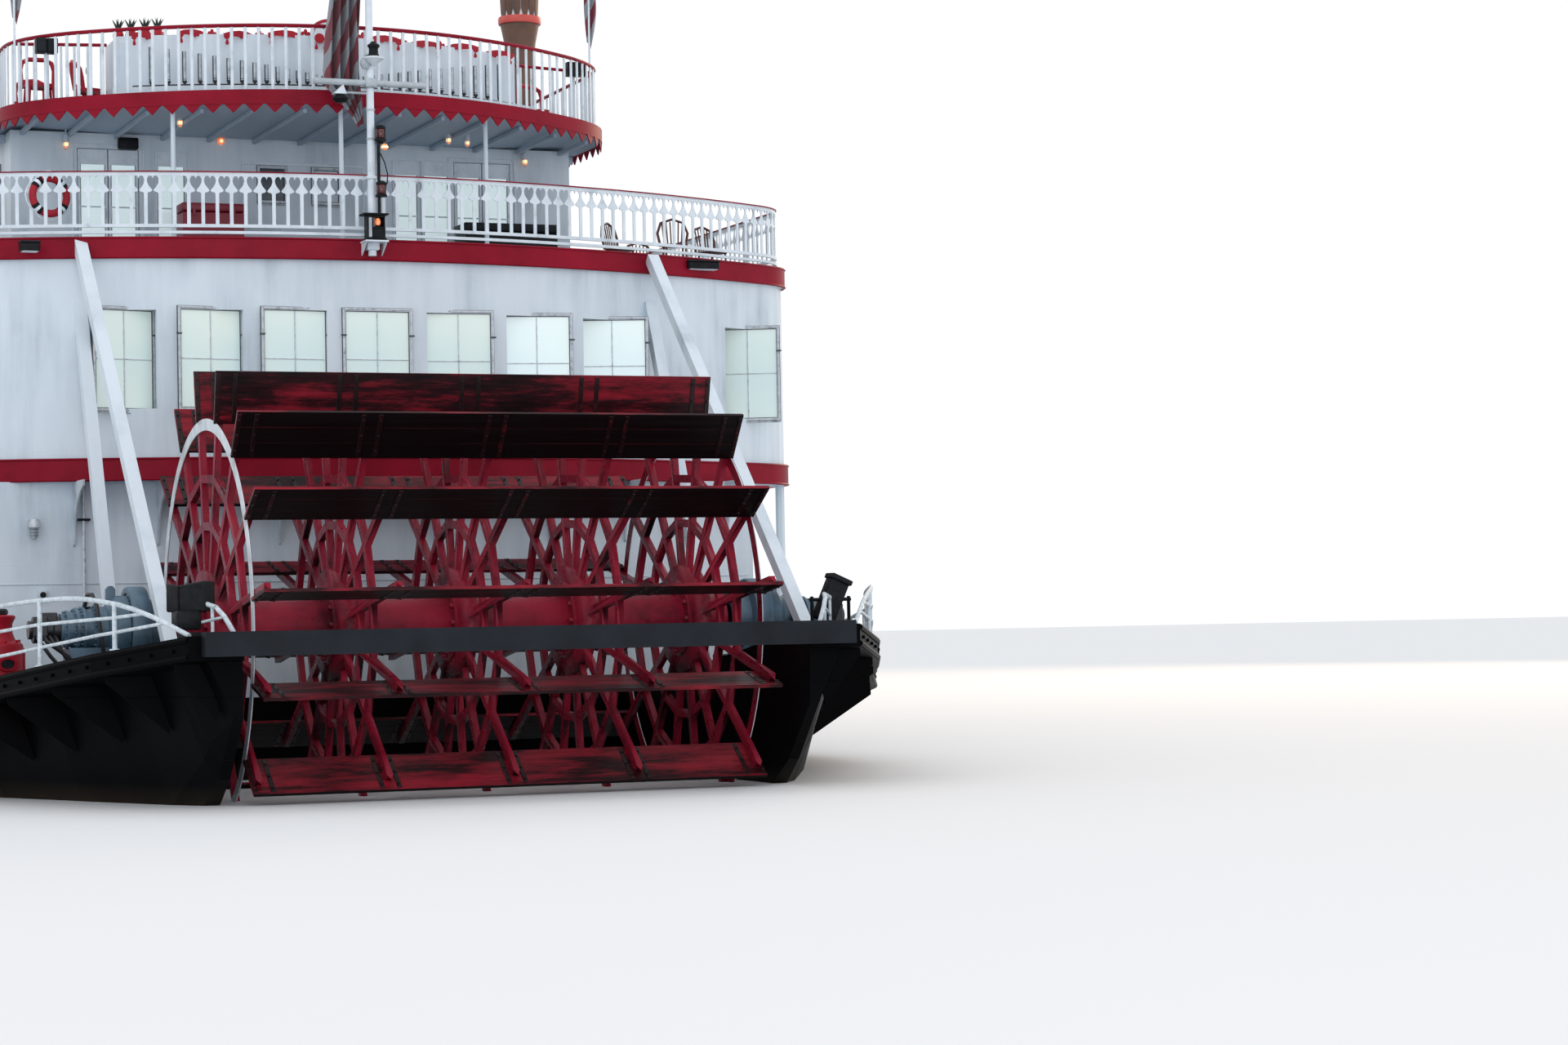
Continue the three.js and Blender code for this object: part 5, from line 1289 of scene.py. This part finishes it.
# Deck lamps. Cast brackets carry jelly-jar globes in wire guards under the roof, with amber lamps lit,
# and black floodlights are bolted to the band below the rail.
globes = []
for x, y, z, size in ((9.52, 4.32, 13.42, 0.8), (7.5, 2.67, 13.58, 0.8), (7.0, 2.07, 13.67, 0.45),
        (8.0, -2.42, 13.54, 0.75), (8.0, -2.78, 13.5, 0.7), (9.5, -4.38, 13.42, 0.8)):
    globes.append(coated(turned("cap", [(0, -0.02), (0.07 * size, -0.02), (0.08 * size, 0.02),
        (0.05 * size, 0.12), (0, 0.13)], (x, y, z + 0.02)), wall_white))
    for finish, lens in ((amber, [(0, -0.14), (0.035, -0.13), (0.053, -0.06), (0.053, 0.03), (0, 0.03)]),
            (lit_core, [(0, -0.09), (0.054, -0.085), (0.057, -0.05), (0.055, -0.01), (0, 0)])):
        lens = [(radius * size, rise * size) for radius, rise in lens]
        globes.append(coated(turned("globe", lens, (x, y, z), sides=20), finish))
    for k in range(4):
        a = math.pi / 4 + math.pi / 2 * k
        wire = [(x + r * size * math.cos(a), y + r * size * math.sin(a), z + h) for r, h in ((0.075, 0.05),
            (0.075, -0.07 * size), (0.05, -0.14 * size), (0.0, -0.17 * size))]
        globes.append(coated(run("guard", wire, 0.006, 4), window_metal))
    globes.append(coated(rod("stem", (x, y, z + 0.08), (x, y, 13.75), 0.014, 8, edge=0), wall_white))
globes.append(joined("bulkhead_lamp", [
    coated(turned("glass", [(0, 0), (0.065, 0), (0.065, 0.02), (0.045, 0.05), (0, 0.06)], (0, 0, 0)),
        amber),
    coated(turned("core", [(0, 0), (0.03, 0), (0.03, 0.062), (0, 0.066)], (0, 0, 0)), lit_core)]))
globes[-1].data.transform(stood_at((9.59, 1.47, 13.56), Matrix.Rotation(-math.pi / 2, 4, "Y")))
globes.append(coated(bar("wall_speaker", (9.4, 3.02, 13.33), (9.59, 3.38, 13.54), 0.03, 2), lamp_black))
for x, y0, y1, z0, z1 in ((5.42, 5.54, 5.86, 10.93, 11.12), (5.98, -6.85, -6.25, 10.98, 11.16)):
    globes.append(coated(bar("flood", (x - 0.28, y0, z0), (x - 0.02, y1, z1 - 0.05), 0.015), lamp_black))
    globes.append(coated(bar("hood", (x - 0.3, y0 - 0.01, z1 - 0.05), (x, y1 + 0.01, z1 - 0.02), 0.006),
        box_black))
    globes.append(coated(bar("lens", (x - 0.26, y0 + 0.03, z0 - 0.012), (x - 0.05, y1 - 0.03, z0 + 0.004),
        0.003), window_metal))
fitted(joined("deck_lamps", globes))

# Roof furniture. Bentwood chairs in red enamel, pairs of black loudspeakers on posts, a second rail
# across the roof behind the organ, and two small flags furled on their poles.
hoop = [(0.0, -0.28, 0.42), (0.05, -0.3, 0.76), (0.07, -0.26, 0.9), (0.09, -0.14, 0.96), (0.09, 0.14, 0.96),
    (0.07, 0.26, 0.9), (0.05, 0.3, 0.76), (0.0, 0.28, 0.42)]
chairs = [
    ribbon("seat", around(24, 0.22, (-0.2, 0), stretch=0.26 / 0.22), 0.4, 0.46, 0.05),
    run("hoop", hoop, 0.042, 12),
    run("back_rail", [(-0.02, -0.29, 0.5), (0.05, -0.1, 0.52), (0.05, 0.1, 0.52), (-0.02, 0.29, 0.5)],
        0.025),
    turned("pad", [(0, 0.42), (0.22, 0.42), (0.23, 0.45), (0.2, 0.47), (0, 0.475)], (-0.2, 0, 0))]
for x, y in ((-0.38, -0.2), (-0.38, 0.2), (0.0, -0.22), (0.0, 0.22)):
    chairs.append(rod("leg", (x * 1.1, y * 1.15, 0), (x, y, 0.42), 0.024, 8, edge=0))
stands = [(x, y, ROOF_TOP, turn) for x, y, turn in ((9.0, 4.9, 0.0), (9.2, 4.12, 1.1), (9.4, -4.5, 0.4),
    (11.5, 4.6, 2.5), (12.0, -4.3, -2.2), (13.5, 3.2, 1.6))]
chairs = repeated("roof_chairs", joined("chair", chairs, scroll_red), stands)
roof = [chairs]
for x, y, pair, rise in ((7.6, 4.98, 0.095, 0), (8.1, -4.95, 0.098, 0.14)):
    roof.append(coated(rod("speaker_post", (x + 0.14, y, ROOF_TOP), (x + 0.14, y, 14.8 + rise), 0.022),
        rail_white))
    for centre in (y - pair, y + pair):
        for label, aft, fore, half, low, high, finish in (("speaker", -0.1, 0.1, 0.092, 14.68, 14.94,
                lamp_black), ("grille", -0.112, -0.1, 0.075, 14.7, 14.92, box_black)):
            roof.append(coated(bar(label, (x + aft, centre - half, low + rise), (x + fore, centre + half,
                high + rise), 0.008), finish))
rail_line = [(8.55 - 0.042 * k, 5.37 - 0.195 * k) for k in range(9)]
for side in (1, -1):
    line = [(x, side * y) for x, y in rail_line]
    roof.append(coated(run("cross_rail", [(x, y, ROOF_HANDRAIL) for x, y in line], 0.03, 12), band_red))
    picket = bar("picket", (-0.012, -0.022, 0), (0.012, 0.022, 1.13), 0.006)
    roof.append(repeated("pickets", picket, [(x, y, ROOF_TOP, turn) for x, y, turn in walk(line, 0.24, 0.1,
        False)], rail_white))
fitted(joined("roof_furniture", roof))
roll = []
for x, y, top in ((7.9, 5.48, 16.9), (8.15, -5.25, 17.2)):
    roll.append(coated(rod("flag_pole", (x, y, ROOF_TOP), (x, y, top), 0.022, tip=0.016), rail_white))
    roll.append(coated(turned("pole_knob", [(0, 0), (0.03, 0.01), (0.035, 0.04), (0.02, 0.065), (0, 0.07)],
        (x, y, top)), band_red))
fitted(joined("roof_flag_poles", roll))
for name, x, y, top in (("port", 7.9, 5.48, 16.6), ("stbd", 8.15, -5.25, 16.75)):
    rows = []
    for k in range(17):
        drop = k / 16
        wide = 0.07 + 0.17 * math.sin(math.pi * min(1.0, 0.2 + 0.8 * drop))
        rows.append([(x + 0.04 + 0.03 * math.sin(math.tau * 2 * c / 24 + 2 * drop),
            y + wide * (0.3 - c / 24), top - 1.25 * drop - 0.12 * c / 24) for c in range(25)])
    roll_flag = fitted(coated(bent(f"roof_flag_{name}", rows, 0.005), bunting))

# Stern wall of the main house. A caged lamp, a pipe with its cross clip and a switch box are fixed to the
# plates, curved knees carry the deck above, and a weld line crosses the wall.
WALL_LAMP = (5.58, 5.63)
fittings = [
    coated(turned("lamp_head", [(0, 0.14), (0.09, 0.12), (0.105, 0.06), (0.105, -0.02), (0.07, -0.04),
        (0, -0.04)], (*WALL_LAMP, 6.34)), window_metal),
    coated(turned("lamp_globe", [(0, -0.22), (0.04, -0.21), (0.06, -0.16), (0.065, -0.04), (0, -0.04)],
        (*WALL_LAMP, 6.34)), yard_grey),
    coated(bar("lamp_back", (5.58, 5.57, 6.3), (5.71, 5.69, 6.44), 0.02), wall_white),
    *painted(window_metal,
        rod("pipe", (5.64, 4.79, 4.3), (5.64, 4.79, 7.02), 0.03),
        rod("pipe_sleeve", (5.64, 4.79, 6.86), (5.64, 4.79, 7.0), 0.042)),
    *painted(lamp_black,
        bar("cross_clip", (5.6, 4.68, 6.43), (5.7, 4.89, 6.47), 0.008),
        bar("low_clip", (5.6, 4.7, 4.94), (5.7, 4.88, 4.98), 0.008)),
    coated(bar("switch_box", (5.6, 5.41, 5.11), (5.72, 5.57, 5.27), 0.015, 2), wall_white),
    coated(rod("switch_knob", (5.57, 5.49, 5.19), (5.61, 5.49, 5.19), 0.05, 16), lamp_black),
    coated(bar("weld_line", (5.685, -7.3, 5.36), (5.705, 7.3, 5.372), 0.003), wall_white)]
for k in range(3):
    hoop = turned("cage_hoop", hollow(0.068, 0.076, 0, 0.008), (*WALL_LAMP, 6.28 - 0.05 * k), sides=16)
    fittings.append(coated(hoop, gasket))
KNEE = [(0.0, 0), (1.06, 0), (1.02, -0.1), (0.72, -0.19), (0.42, -0.36), (0.2, -0.6), (0.1, -0.84),
    (0.05, -1.06), (0, -1.1)]
for y in (6.9, 4.93, 3.51, 1.4, -1.4, -3.51, -4.93, -6.9):
    reach = 0.98 - (DECK_BOW * (8.9 ** 2 - y * y)) * 0.02
    web = [(5.7 - reach * out, y, 7.09 + drop) for out, drop in KNEE]
    fittings.append(coated(plate("knee", web, (0, 0.03, 0)), wall_white))
fitted(joined("stern_wall_fittings", fittings))

# After-deck floodlights. Two black steel housings on yokes stand at the after corners of the deck, one
# level and one tipped up at the house, and a short bent rail guards each corner of the wheel's opening.
AFTER_DECK = deck_top(-3.6)
flood = [
    plate("housing", [(-3.52, 5.13, 4.82), (-3.78, 4.81, 4.82), (-3.78, 4.81, 5.26), (-3.52, 5.13, 5.2)],
          (0.3, -0.22, 0), 0.02),
    plate("housing", [(-3.52, 5.13, 4.82), (-3.3, 5.26, 4.82), (-3.3, 5.26, 5.23), (-3.52, 5.13, 5.2)],
          (0.3, -0.1, 0), 0.02),
    bar("lamp_foot", (-3.72, 4.84, 4.56), (-3.32, 5.2, 4.84), 0.04, 2),
    bar("base", (-3.75, 4.7, AFTER_DECK - 0.01), (-3.3, 5.1, AFTER_DECK + 0.14)),
]
fitted(joined("floodlight_port", flood, lamp_black))
tipped = [
    bar("housing", (-0.16, -0.17, -0.36), (0.1, 0.15, 0.36), 0.03, 2),
    bar("hood_lip", (-0.2, -0.19, 0.3), (0.12, 0.17, 0.38), 0.012),
    *[bar("fin", (0.1, y, -0.3), (0.18, y + 0.04, 0.28), 0.006) for y in (-0.12, 0.04)]]
tipped = joined("tipped_flood", tipped)
tipped.data.transform(stood_at((-3.2, -5.08, 4.85), Matrix.Rotation(math.radians(24), 4, "X")))
stand = [
    *[bar("yoke", (-3.24, y, AFTER_DECK + 0.02), (-3.16, y + 0.03, 4.9), 0.006) for y in (-5.42, -4.8)],
    rod("yoke_pin", (-3.2, -5.44, 4.85), (-3.2, -4.74, 4.85), 0.028, 10),
    bar("base", (-3.4, -5.45, AFTER_DECK - 0.04), (-3.0, -4.74, AFTER_DECK + 0.03))]
fitted(joined("floodlight_stbd", [tipped] + stand, lamp_black))
corner_rail = []
for side in (1, -1):

    def on_deck(x, y, rise):
        return x, side * y, deck_top(x) + rise

    corner_rail += [
        run("rail", [
            on_deck(-3.4, 5.0, 0.52),
            on_deck(-3.7, 4.78, 0.53),
            on_deck(-3.95, 4.69, 0.44),
            on_deck(-4.1, 4.6, 0.28),
            on_deck(-4.18, 4.5, 0.06),
            on_deck(-4.19, 4.48, 0.0)], 0.036, 12),
        run("rail", [on_deck(-3.3, 5.05, 0.25), on_deck(-3.7, 4.83, 0.27), on_deck(-4.1, 4.6, 0.28)], 0.022,
            12),
        *[rod("stanchion", on_deck(x, y, 0), on_deck(x, y, rise), 0.026)
            for x, y, rise in ((-3.85, 4.72, 0.47), (-3.35, 5.02, 0.52))]]
fitted(joined("corner_rails", corner_rail, tube_paint))

# Side deck. Posts of painted tube, with a tube rail between them and a gate space at each boarding door,
# and a handrail along the house.
RAIL_BARS = ((1.05, 0.032), (0.72, 0.022), (0.38, 0.022))
RAIL_LINE = 8.66
GRAB_LINE = HOUSE_SIDE + 0.08
GRAB_HEIGHT = 4.2
side_rail = []
for side in (1, -1):
    for start, end in ((7.0, 13.5), (13.7, 19.5), (22.6, 25.5), (25.7, 31.5), (31.7, 36.6)):
        for rise, radius in RAIL_BARS:
            z = MAIN_TOP + rise
            side_rail.append(run("rail", [(start, side * RAIL_LINE, z), (end, side * RAIL_LINE, z)],
                radius))
        for x in (start + 0.05, (start + end) / 2, end - 0.05):
            side_rail.append(rod("stanchion", (x, side * RAIL_LINE, MAIN_TOP), (x, side * RAIL_LINE, 4.3),
                0.026, 8, edge=0))
    for start, end in ((7, 20.6), (22.8, 37)):
        side_rail.append(run("grab_rail", [(x, side * GRAB_LINE, GRAB_HEIGHT) for x in (start, end)], 0.02))
    for x in (7, 10, 13, 16, 20.6, 22.8, 25.3, 28, 31, 34, 37):
        side_rail.append(rod("bracket", (x, side * (GRAB_LINE - 0.09), GRAB_HEIGHT),
            (x, side * (GRAB_LINE + 0.01), GRAB_HEIGHT), 0.014, 6, edge=0))
fitted(joined("side_deck_rails", side_rail, rail_white))

# Boarding doors. Steel leaves in crimson enamel, stiffened by a pressed frame, with a brass-rimmed light
# and a lever handle.
door_crimson = mottled("crimson_door_enamel", [(0.3, "8f1a2b"), (0.6, "821626"), (0.78, "6c1220")], 3, 0.1,
    roughness=0.4, specular_ior_level=0.25)
brass = mottled("polished_brass", [(0.3, "b58b45"), (0.7, "8c6730")], 12, 0.1, metallic=0.9, roughness=0.3)
for name, side in (("port", 1), ("stbd", -1)):
    coated(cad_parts[f"boarding_door_{name}"], door_crimson)
    out = HOUSE_SIDE * side
    trim = [bar("pressing", (x0, out - side * 0.004, z0), (x1, out + side * 0.016, z1), 0.006)
        for x0, x1, z0, z1 in ((21.1, 21.18, 3.36, 5.44), (22.22, 22.3, 3.36, 5.44),
        (21.18, 22.22, 3.36, 3.44), (21.18, 22.22, 5.36, 5.44), (21.18, 22.22, 4.1, 4.17))]
    trim = [joined("pressings", trim, door_crimson)]
    trim.append(coated(turned("rim", [(0.18, 0), (0.235, 0), (0.235, 0.02), (0.21, 0.03), (0.18, 0.02),
        (0.18, 0)], (21.7, out, 4.85), "Y" if side > 0 else "-Y"), brass))
    trim.append(coated(turned("light", [(0, 0), (0.19, 0), (0.19, 0.012), (0, 0.012)], (21.7, out, 4.85),
        "Y" if side > 0 else "-Y"), dark_glass))
    trim += painted(brass,
        rod("lever_pin", (22.14, out - side * 0.01, 4.28), (22.14, out + side * 0.05, 4.28), 0.02, 10),
        rod("lever", (22.16, out + side * 0.045, 4.28), (22.0, out + side * 0.045, 4.27), 0.013, 10))
    fitted(joined(f"boarding_door_{name}_trim", trim), f"{name}_boarding_leaf")

# Pilot house. White steel walls under a crimson roof, with aluminium window frames all round, a moulded
# cornice, a searchlight, twin horns and a short signal mast.
coated(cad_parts["pilot_roof"], band_red)
coated(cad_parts["engine_block"], machine_grey)


def light(low, high, panes, along):
    """A row of framed panes that fills an opening between two full-size corners, along x or y."""
    (x0, y0, z0), (x1, y1, z1) = low, high
    start, end = (x0, x1) if along == "x" else (y0, y1)
    mid = (y0 + y1) / 2 if along == "x" else (x0 + x1) / 2

    def piece(label, a, b, za, zb, deep, finish):
        low, high = ((a, mid - deep, za), (b, mid + deep, zb)) if along == "x" else ((mid - deep, a, za),
            (mid + deep, b, zb))
        return coated(bar(label, low, high, 0.006), finish)

    parts = [
        piece("sill", start, end, z0, z0 + 0.05, 0.07, window_metal),
        piece("head", start, end, z1 - 0.05, z1, 0.07, window_metal),
        piece("glass", start + 0.01, end - 0.01, z0 + 0.04, z1 - 0.04, 0.008, dark_glass)]
    for k in range(panes + 1):
        centre = start + 0.03 + (end - start - 0.06) * k / panes
        parts.append(piece("mullion", centre - 0.03, centre + 0.03, z0 + 0.04, z1 - 0.04, 0.05,
            window_metal))
    return parts


wheelhouse = []
for low, high, along in (((30.5, 1.88), (33.5, 2.0), "x"), ((30.5, -2.0), (33.5, -1.88), "x"),
        ((33.88, -1.6), (34.0, 1.6), "y")):
    wheelhouse += light((*low, 14.95), (*high, 16.05), 3, along)
cornice = [(29.78, -2.22), (34.22, -2.22), (34.22, 2.22), (29.78, 2.22)]
wheelhouse.append(coated(ribbon("cornice", cornice, 16.32, 16.41, 0.05), rail_white))
plinth = [(29.97, -0.55), (29.97, -2.03), (34.03, -2.03), (34.03, 2.03), (29.97, 2.03), (29.97, 0.55)]
wheelhouse.append(coated(ribbon("plinth", plinth, 13.87, 14.0, 0.05, False), band_red))
for y in (-1.1, 1.1):
    wheelhouse += [
        *painted(lamp_black,
            turned("light_foot", [(0, 0), (0.12, 0), (0.12, 0.03), (0.04, 0.06), (0.04, 0.22), (0, 0.22)],
                (33.3, y, 16.56)),
            rod("searchlight", (33.1, y, 16.9), (33.5, y, 16.9), 0.17, 24, tip=0.2, edge=0.02)),
        coated(rod("light_glass", (33.5, y, 16.9), (33.515, y, 16.9), 0.18, 24, edge=0.004), pane_glass)]
for y in (-0.16, 0.16):
    wheelhouse.append(coated(rod("horn", (31.8, y, 16.68), (32.5, y, 16.68), 0.03, 16, tip=0.1, edge=0.004),
        brass))
wheelhouse.append(coated(bar("horn_stand", (31.86, -0.2, 16.55), (31.94, 0.2, 16.7)), lamp_black))
wheelhouse += [
    *painted(rail_white,
        rod("signal_mast", (30.6, 0, 16.55), (30.6, 0, 18.3), 0.045, 16, tip=0.03),
        rod("signal_yard", (30.6, -0.55, 17.6), (30.6, 0.55, 17.6), 0.022),
        turned("mast_foot", [(0, 0), (0.12, 0), (0.12, 0.03), (0.05, 0.07), (0, 0.07)], (30.6, 0, 16.55))),
    coated(turned("mast_light", [(0, 0), (0.06, 0), (0.07, 0.03), (0.07, 0.13), (0.05, 0.16), (0, 0.17)],
        (30.6, 0, 18.29)), yard_grey)]
fitted(joined("pilot_house_fittings", wheelhouse))
leaf_trim = [
    coated(bar("light_frame", (29.985, -0.26, 15.0), (30.005, 0.26, 15.7), 0.006), window_metal),
    coated(bar("light", (29.978, -0.21, 15.05), (29.99, 0.21, 15.65), 0.003), dark_glass),
    coated(rod("knob", (30.01, -0.3, 14.85), (29.95, -0.3, 14.85), 0.03, 14), brass),
]
fitted(joined("pilot_door_trim", leaf_trim), "pilot_leaf")

# Landing stage and its mast. The stage is a welded gangway with cross battens and tube rails, hinged
# between cheeks on the foredeck. The mast carries a sheave block, cleats and rungs.
STAGE_TILT = math.radians(14)
STAGE_LENGTH = 8.73
gangway = [bar("toe_board", (0.3, y - 0.01, 0), (STAGE_LENGTH - 0.05, y + 0.01, 0.1), 0.004)
    for y in (-0.63, 0.63)]
for k in range(24):
    x = 0.45 + 0.35 * k
    gangway.append(bar("batten", (x, -0.62, 0), (x + 0.05, 0.62, 0.028), 0.006))
for y in (-0.7, 0.7):
    for k in range(7):
        x = 0.6 + 1.33 * k
        gangway.append(rod("rail_post", (x, y, 0.17), (x, y, 1.0), 0.022, 10, edge=0))
        gangway.append(rod("post_socket", (x, y, 0.17), (x, y, 0.3), 0.034, 10, edge=0))
    gangway.append(run("hand_bar", [(0.6, y, 1.0), (8.58, y, 1.0)], 0.024, 12))
    gangway.append(run("knee_bar", [(0.6, y, 0.6), (8.58, y, 0.6)], 0.018, 12))
    for k in range(6):
        x = 0.6 + 1.33 * k
        low, high = ((x, 0.22), (x + 1.33, 0.58)) if k % 2 else ((x, 0.58), (x + 1.33, 0.22))
        gangway.append(rod("diagonal", (low[0], y, low[1]), (high[0], y, high[1]), 0.012, 6, edge=0))
gangway = joined("landing_stage_dressing", gangway)
gangway.data.transform(stood_at((46.6, 2.1, 4.351), Matrix.Rotation(-STAGE_TILT, 4, "Y")))
fitted(coated(gangway, rail_white), "stage")
MAST_AXIS = (45, 2.1)
mast = [
    turned("mast_ball", [(0, 0), (0.1, 0.01), (0.14, 0.07), (0.14, 0.15), (0.1, 0.21), (0, 0.23)],
        (*MAST_AXIS, 12.47)),
    rod("crosstree", (45, 1.5, 11.7), (45, 2.7, 11.7), 0.045),
    bar("head_block", (45.1, 1.99, 11.95), (45.36, 2.21, 12.25), 0.03, 2),
    rod("sheave", (45.24, 1.96, 12.1), (45.24, 2.24, 12.1), 0.1, 20),
    turned("foot_collar", [(0.15, 0), (0.3, 0), (0.3, 0.04), (0.19, 0.1), (0.15, 0.24)],
        (*MAST_AXIS, 3.58))]
mast += [turned("mast_band", [(0.1, -0.03), (0.165 - 0.006 * k, -0.03), (0.165 - 0.006 * k, 0.03),
    (0.1, 0.03)], (*MAST_AXIS, 4.8 + 1.15 * k)) for k in range(6)]
RUNG = ((44.98, 1.93), (44.78, 1.93), (44.76, 1.95), (44.76, 2.25), (44.78, 2.27), (44.98, 2.27))
mast += [run("rung", [(*at, 4.3 + 0.38 * k) for at in RUNG], 0.014, 6) for k in range(18)]
for z in (5.2, 5.6):
    mast.append(rod("cleat", (45.0, 2.38, z - 0.12), (45.0, 2.38, z + 0.12), 0.02, 8))
    mast.append(rod("cleat_stem", (45.0, 2.2, z), (45.0, 2.38, z), 0.025, 8))
fitted(joined("stage_mast_dressing", mast, rail_white))

# Jackstaff and bow fittings. The staff has a turned ball and a cleat over a bolted foot. Cast double
# bitts are bolted to the deck, and a tube rail follows the deck's edge to the bow.
JACKSTAFF_AXIS = (50.9, 0)
bow_top = deck_top(JACKSTAFF_AXIS[0])
staff = [
    coated(turned("ball", [(0, 0), (0.06, 0.01), (0.09, 0.06), (0.09, 0.12), (0.06, 0.17), (0, 0.18)],
        (*JACKSTAFF_AXIS, 10.46)), brass),
    *painted(rail_white,
        turned("foot", [(0.07, 0.2), (0.16, 0.2), (0.16, 0.24), (0.1, 0.3), (0.07, 0.42)],
            (*JACKSTAFF_AXIS, bow_top)),
        rod("cleat", (50.74, 0, 4.8), (50.74, 0, 5.05), 0.018, 8),
        rod("cleat_stem", (50.74, 0, 4.92), (50.86, 0, 4.92), 0.02, 8),
        rod("staff_yard", (50.9, -0.5, 8.4), (50.9, 0.5, 8.4), 0.025))]
for at in around(8, 0.13, JACKSTAFF_AXIS):
    staff.append(coated(rod("bolt", (*at, bow_top + 0.24), (*at, bow_top + 0.27), 0.016, 6, edge=0),
        rail_white))
fitted(joined("jackstaff_dressing", staff))
BITT = [(0, 0), (0.12, 0), (0.12, 0.05), (0.1, 0.09), (0.1, 0.4), (0.14, 0.44), (0.14, 0.48), (0.11, 0.52),
    (0, 0.53)]
bitts = [turned("post", BITT, (x, 0, 0.04), sides=20) for x in (-0.26, 0.26)]
bitts.append(bar("foot", (-0.46, -0.17, 0), (0.46, 0.17, 0.05), 0.015))
stands = [(x, side * y, deck_top(x) + rise, 0) for x, y, rise in ((42.6, 6.9, 0), (48.4, 3.6, -0.02),
    (9, 8.2, 0), (30, 8.2, 0)) for side in (1, -1)]
fitted(repeated("deck_bitts", joined("bitts", bitts), stands, hull_paint))
bow_rail = []
for side in (1, -1):
    line = [(x, side * (between(DECK_PLAN, x) - 0.12)) for x in [37 + 0.55 * k for k in range(22)]]
    for rise, radius in RAIL_BARS:
        bow_rail.append(run("rail", [(x, y, deck_top(x) + rise) for x, y in line], radius))
    for x, y in line[::3]:
        bow_rail.append(rod("stanchion", (x, y, deck_top(x)), (x, y, deck_top(x) + 1.05), 0.03, 8, edge=0))
fitted(joined("bow_rails", bow_rail, rail_white))

low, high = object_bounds()
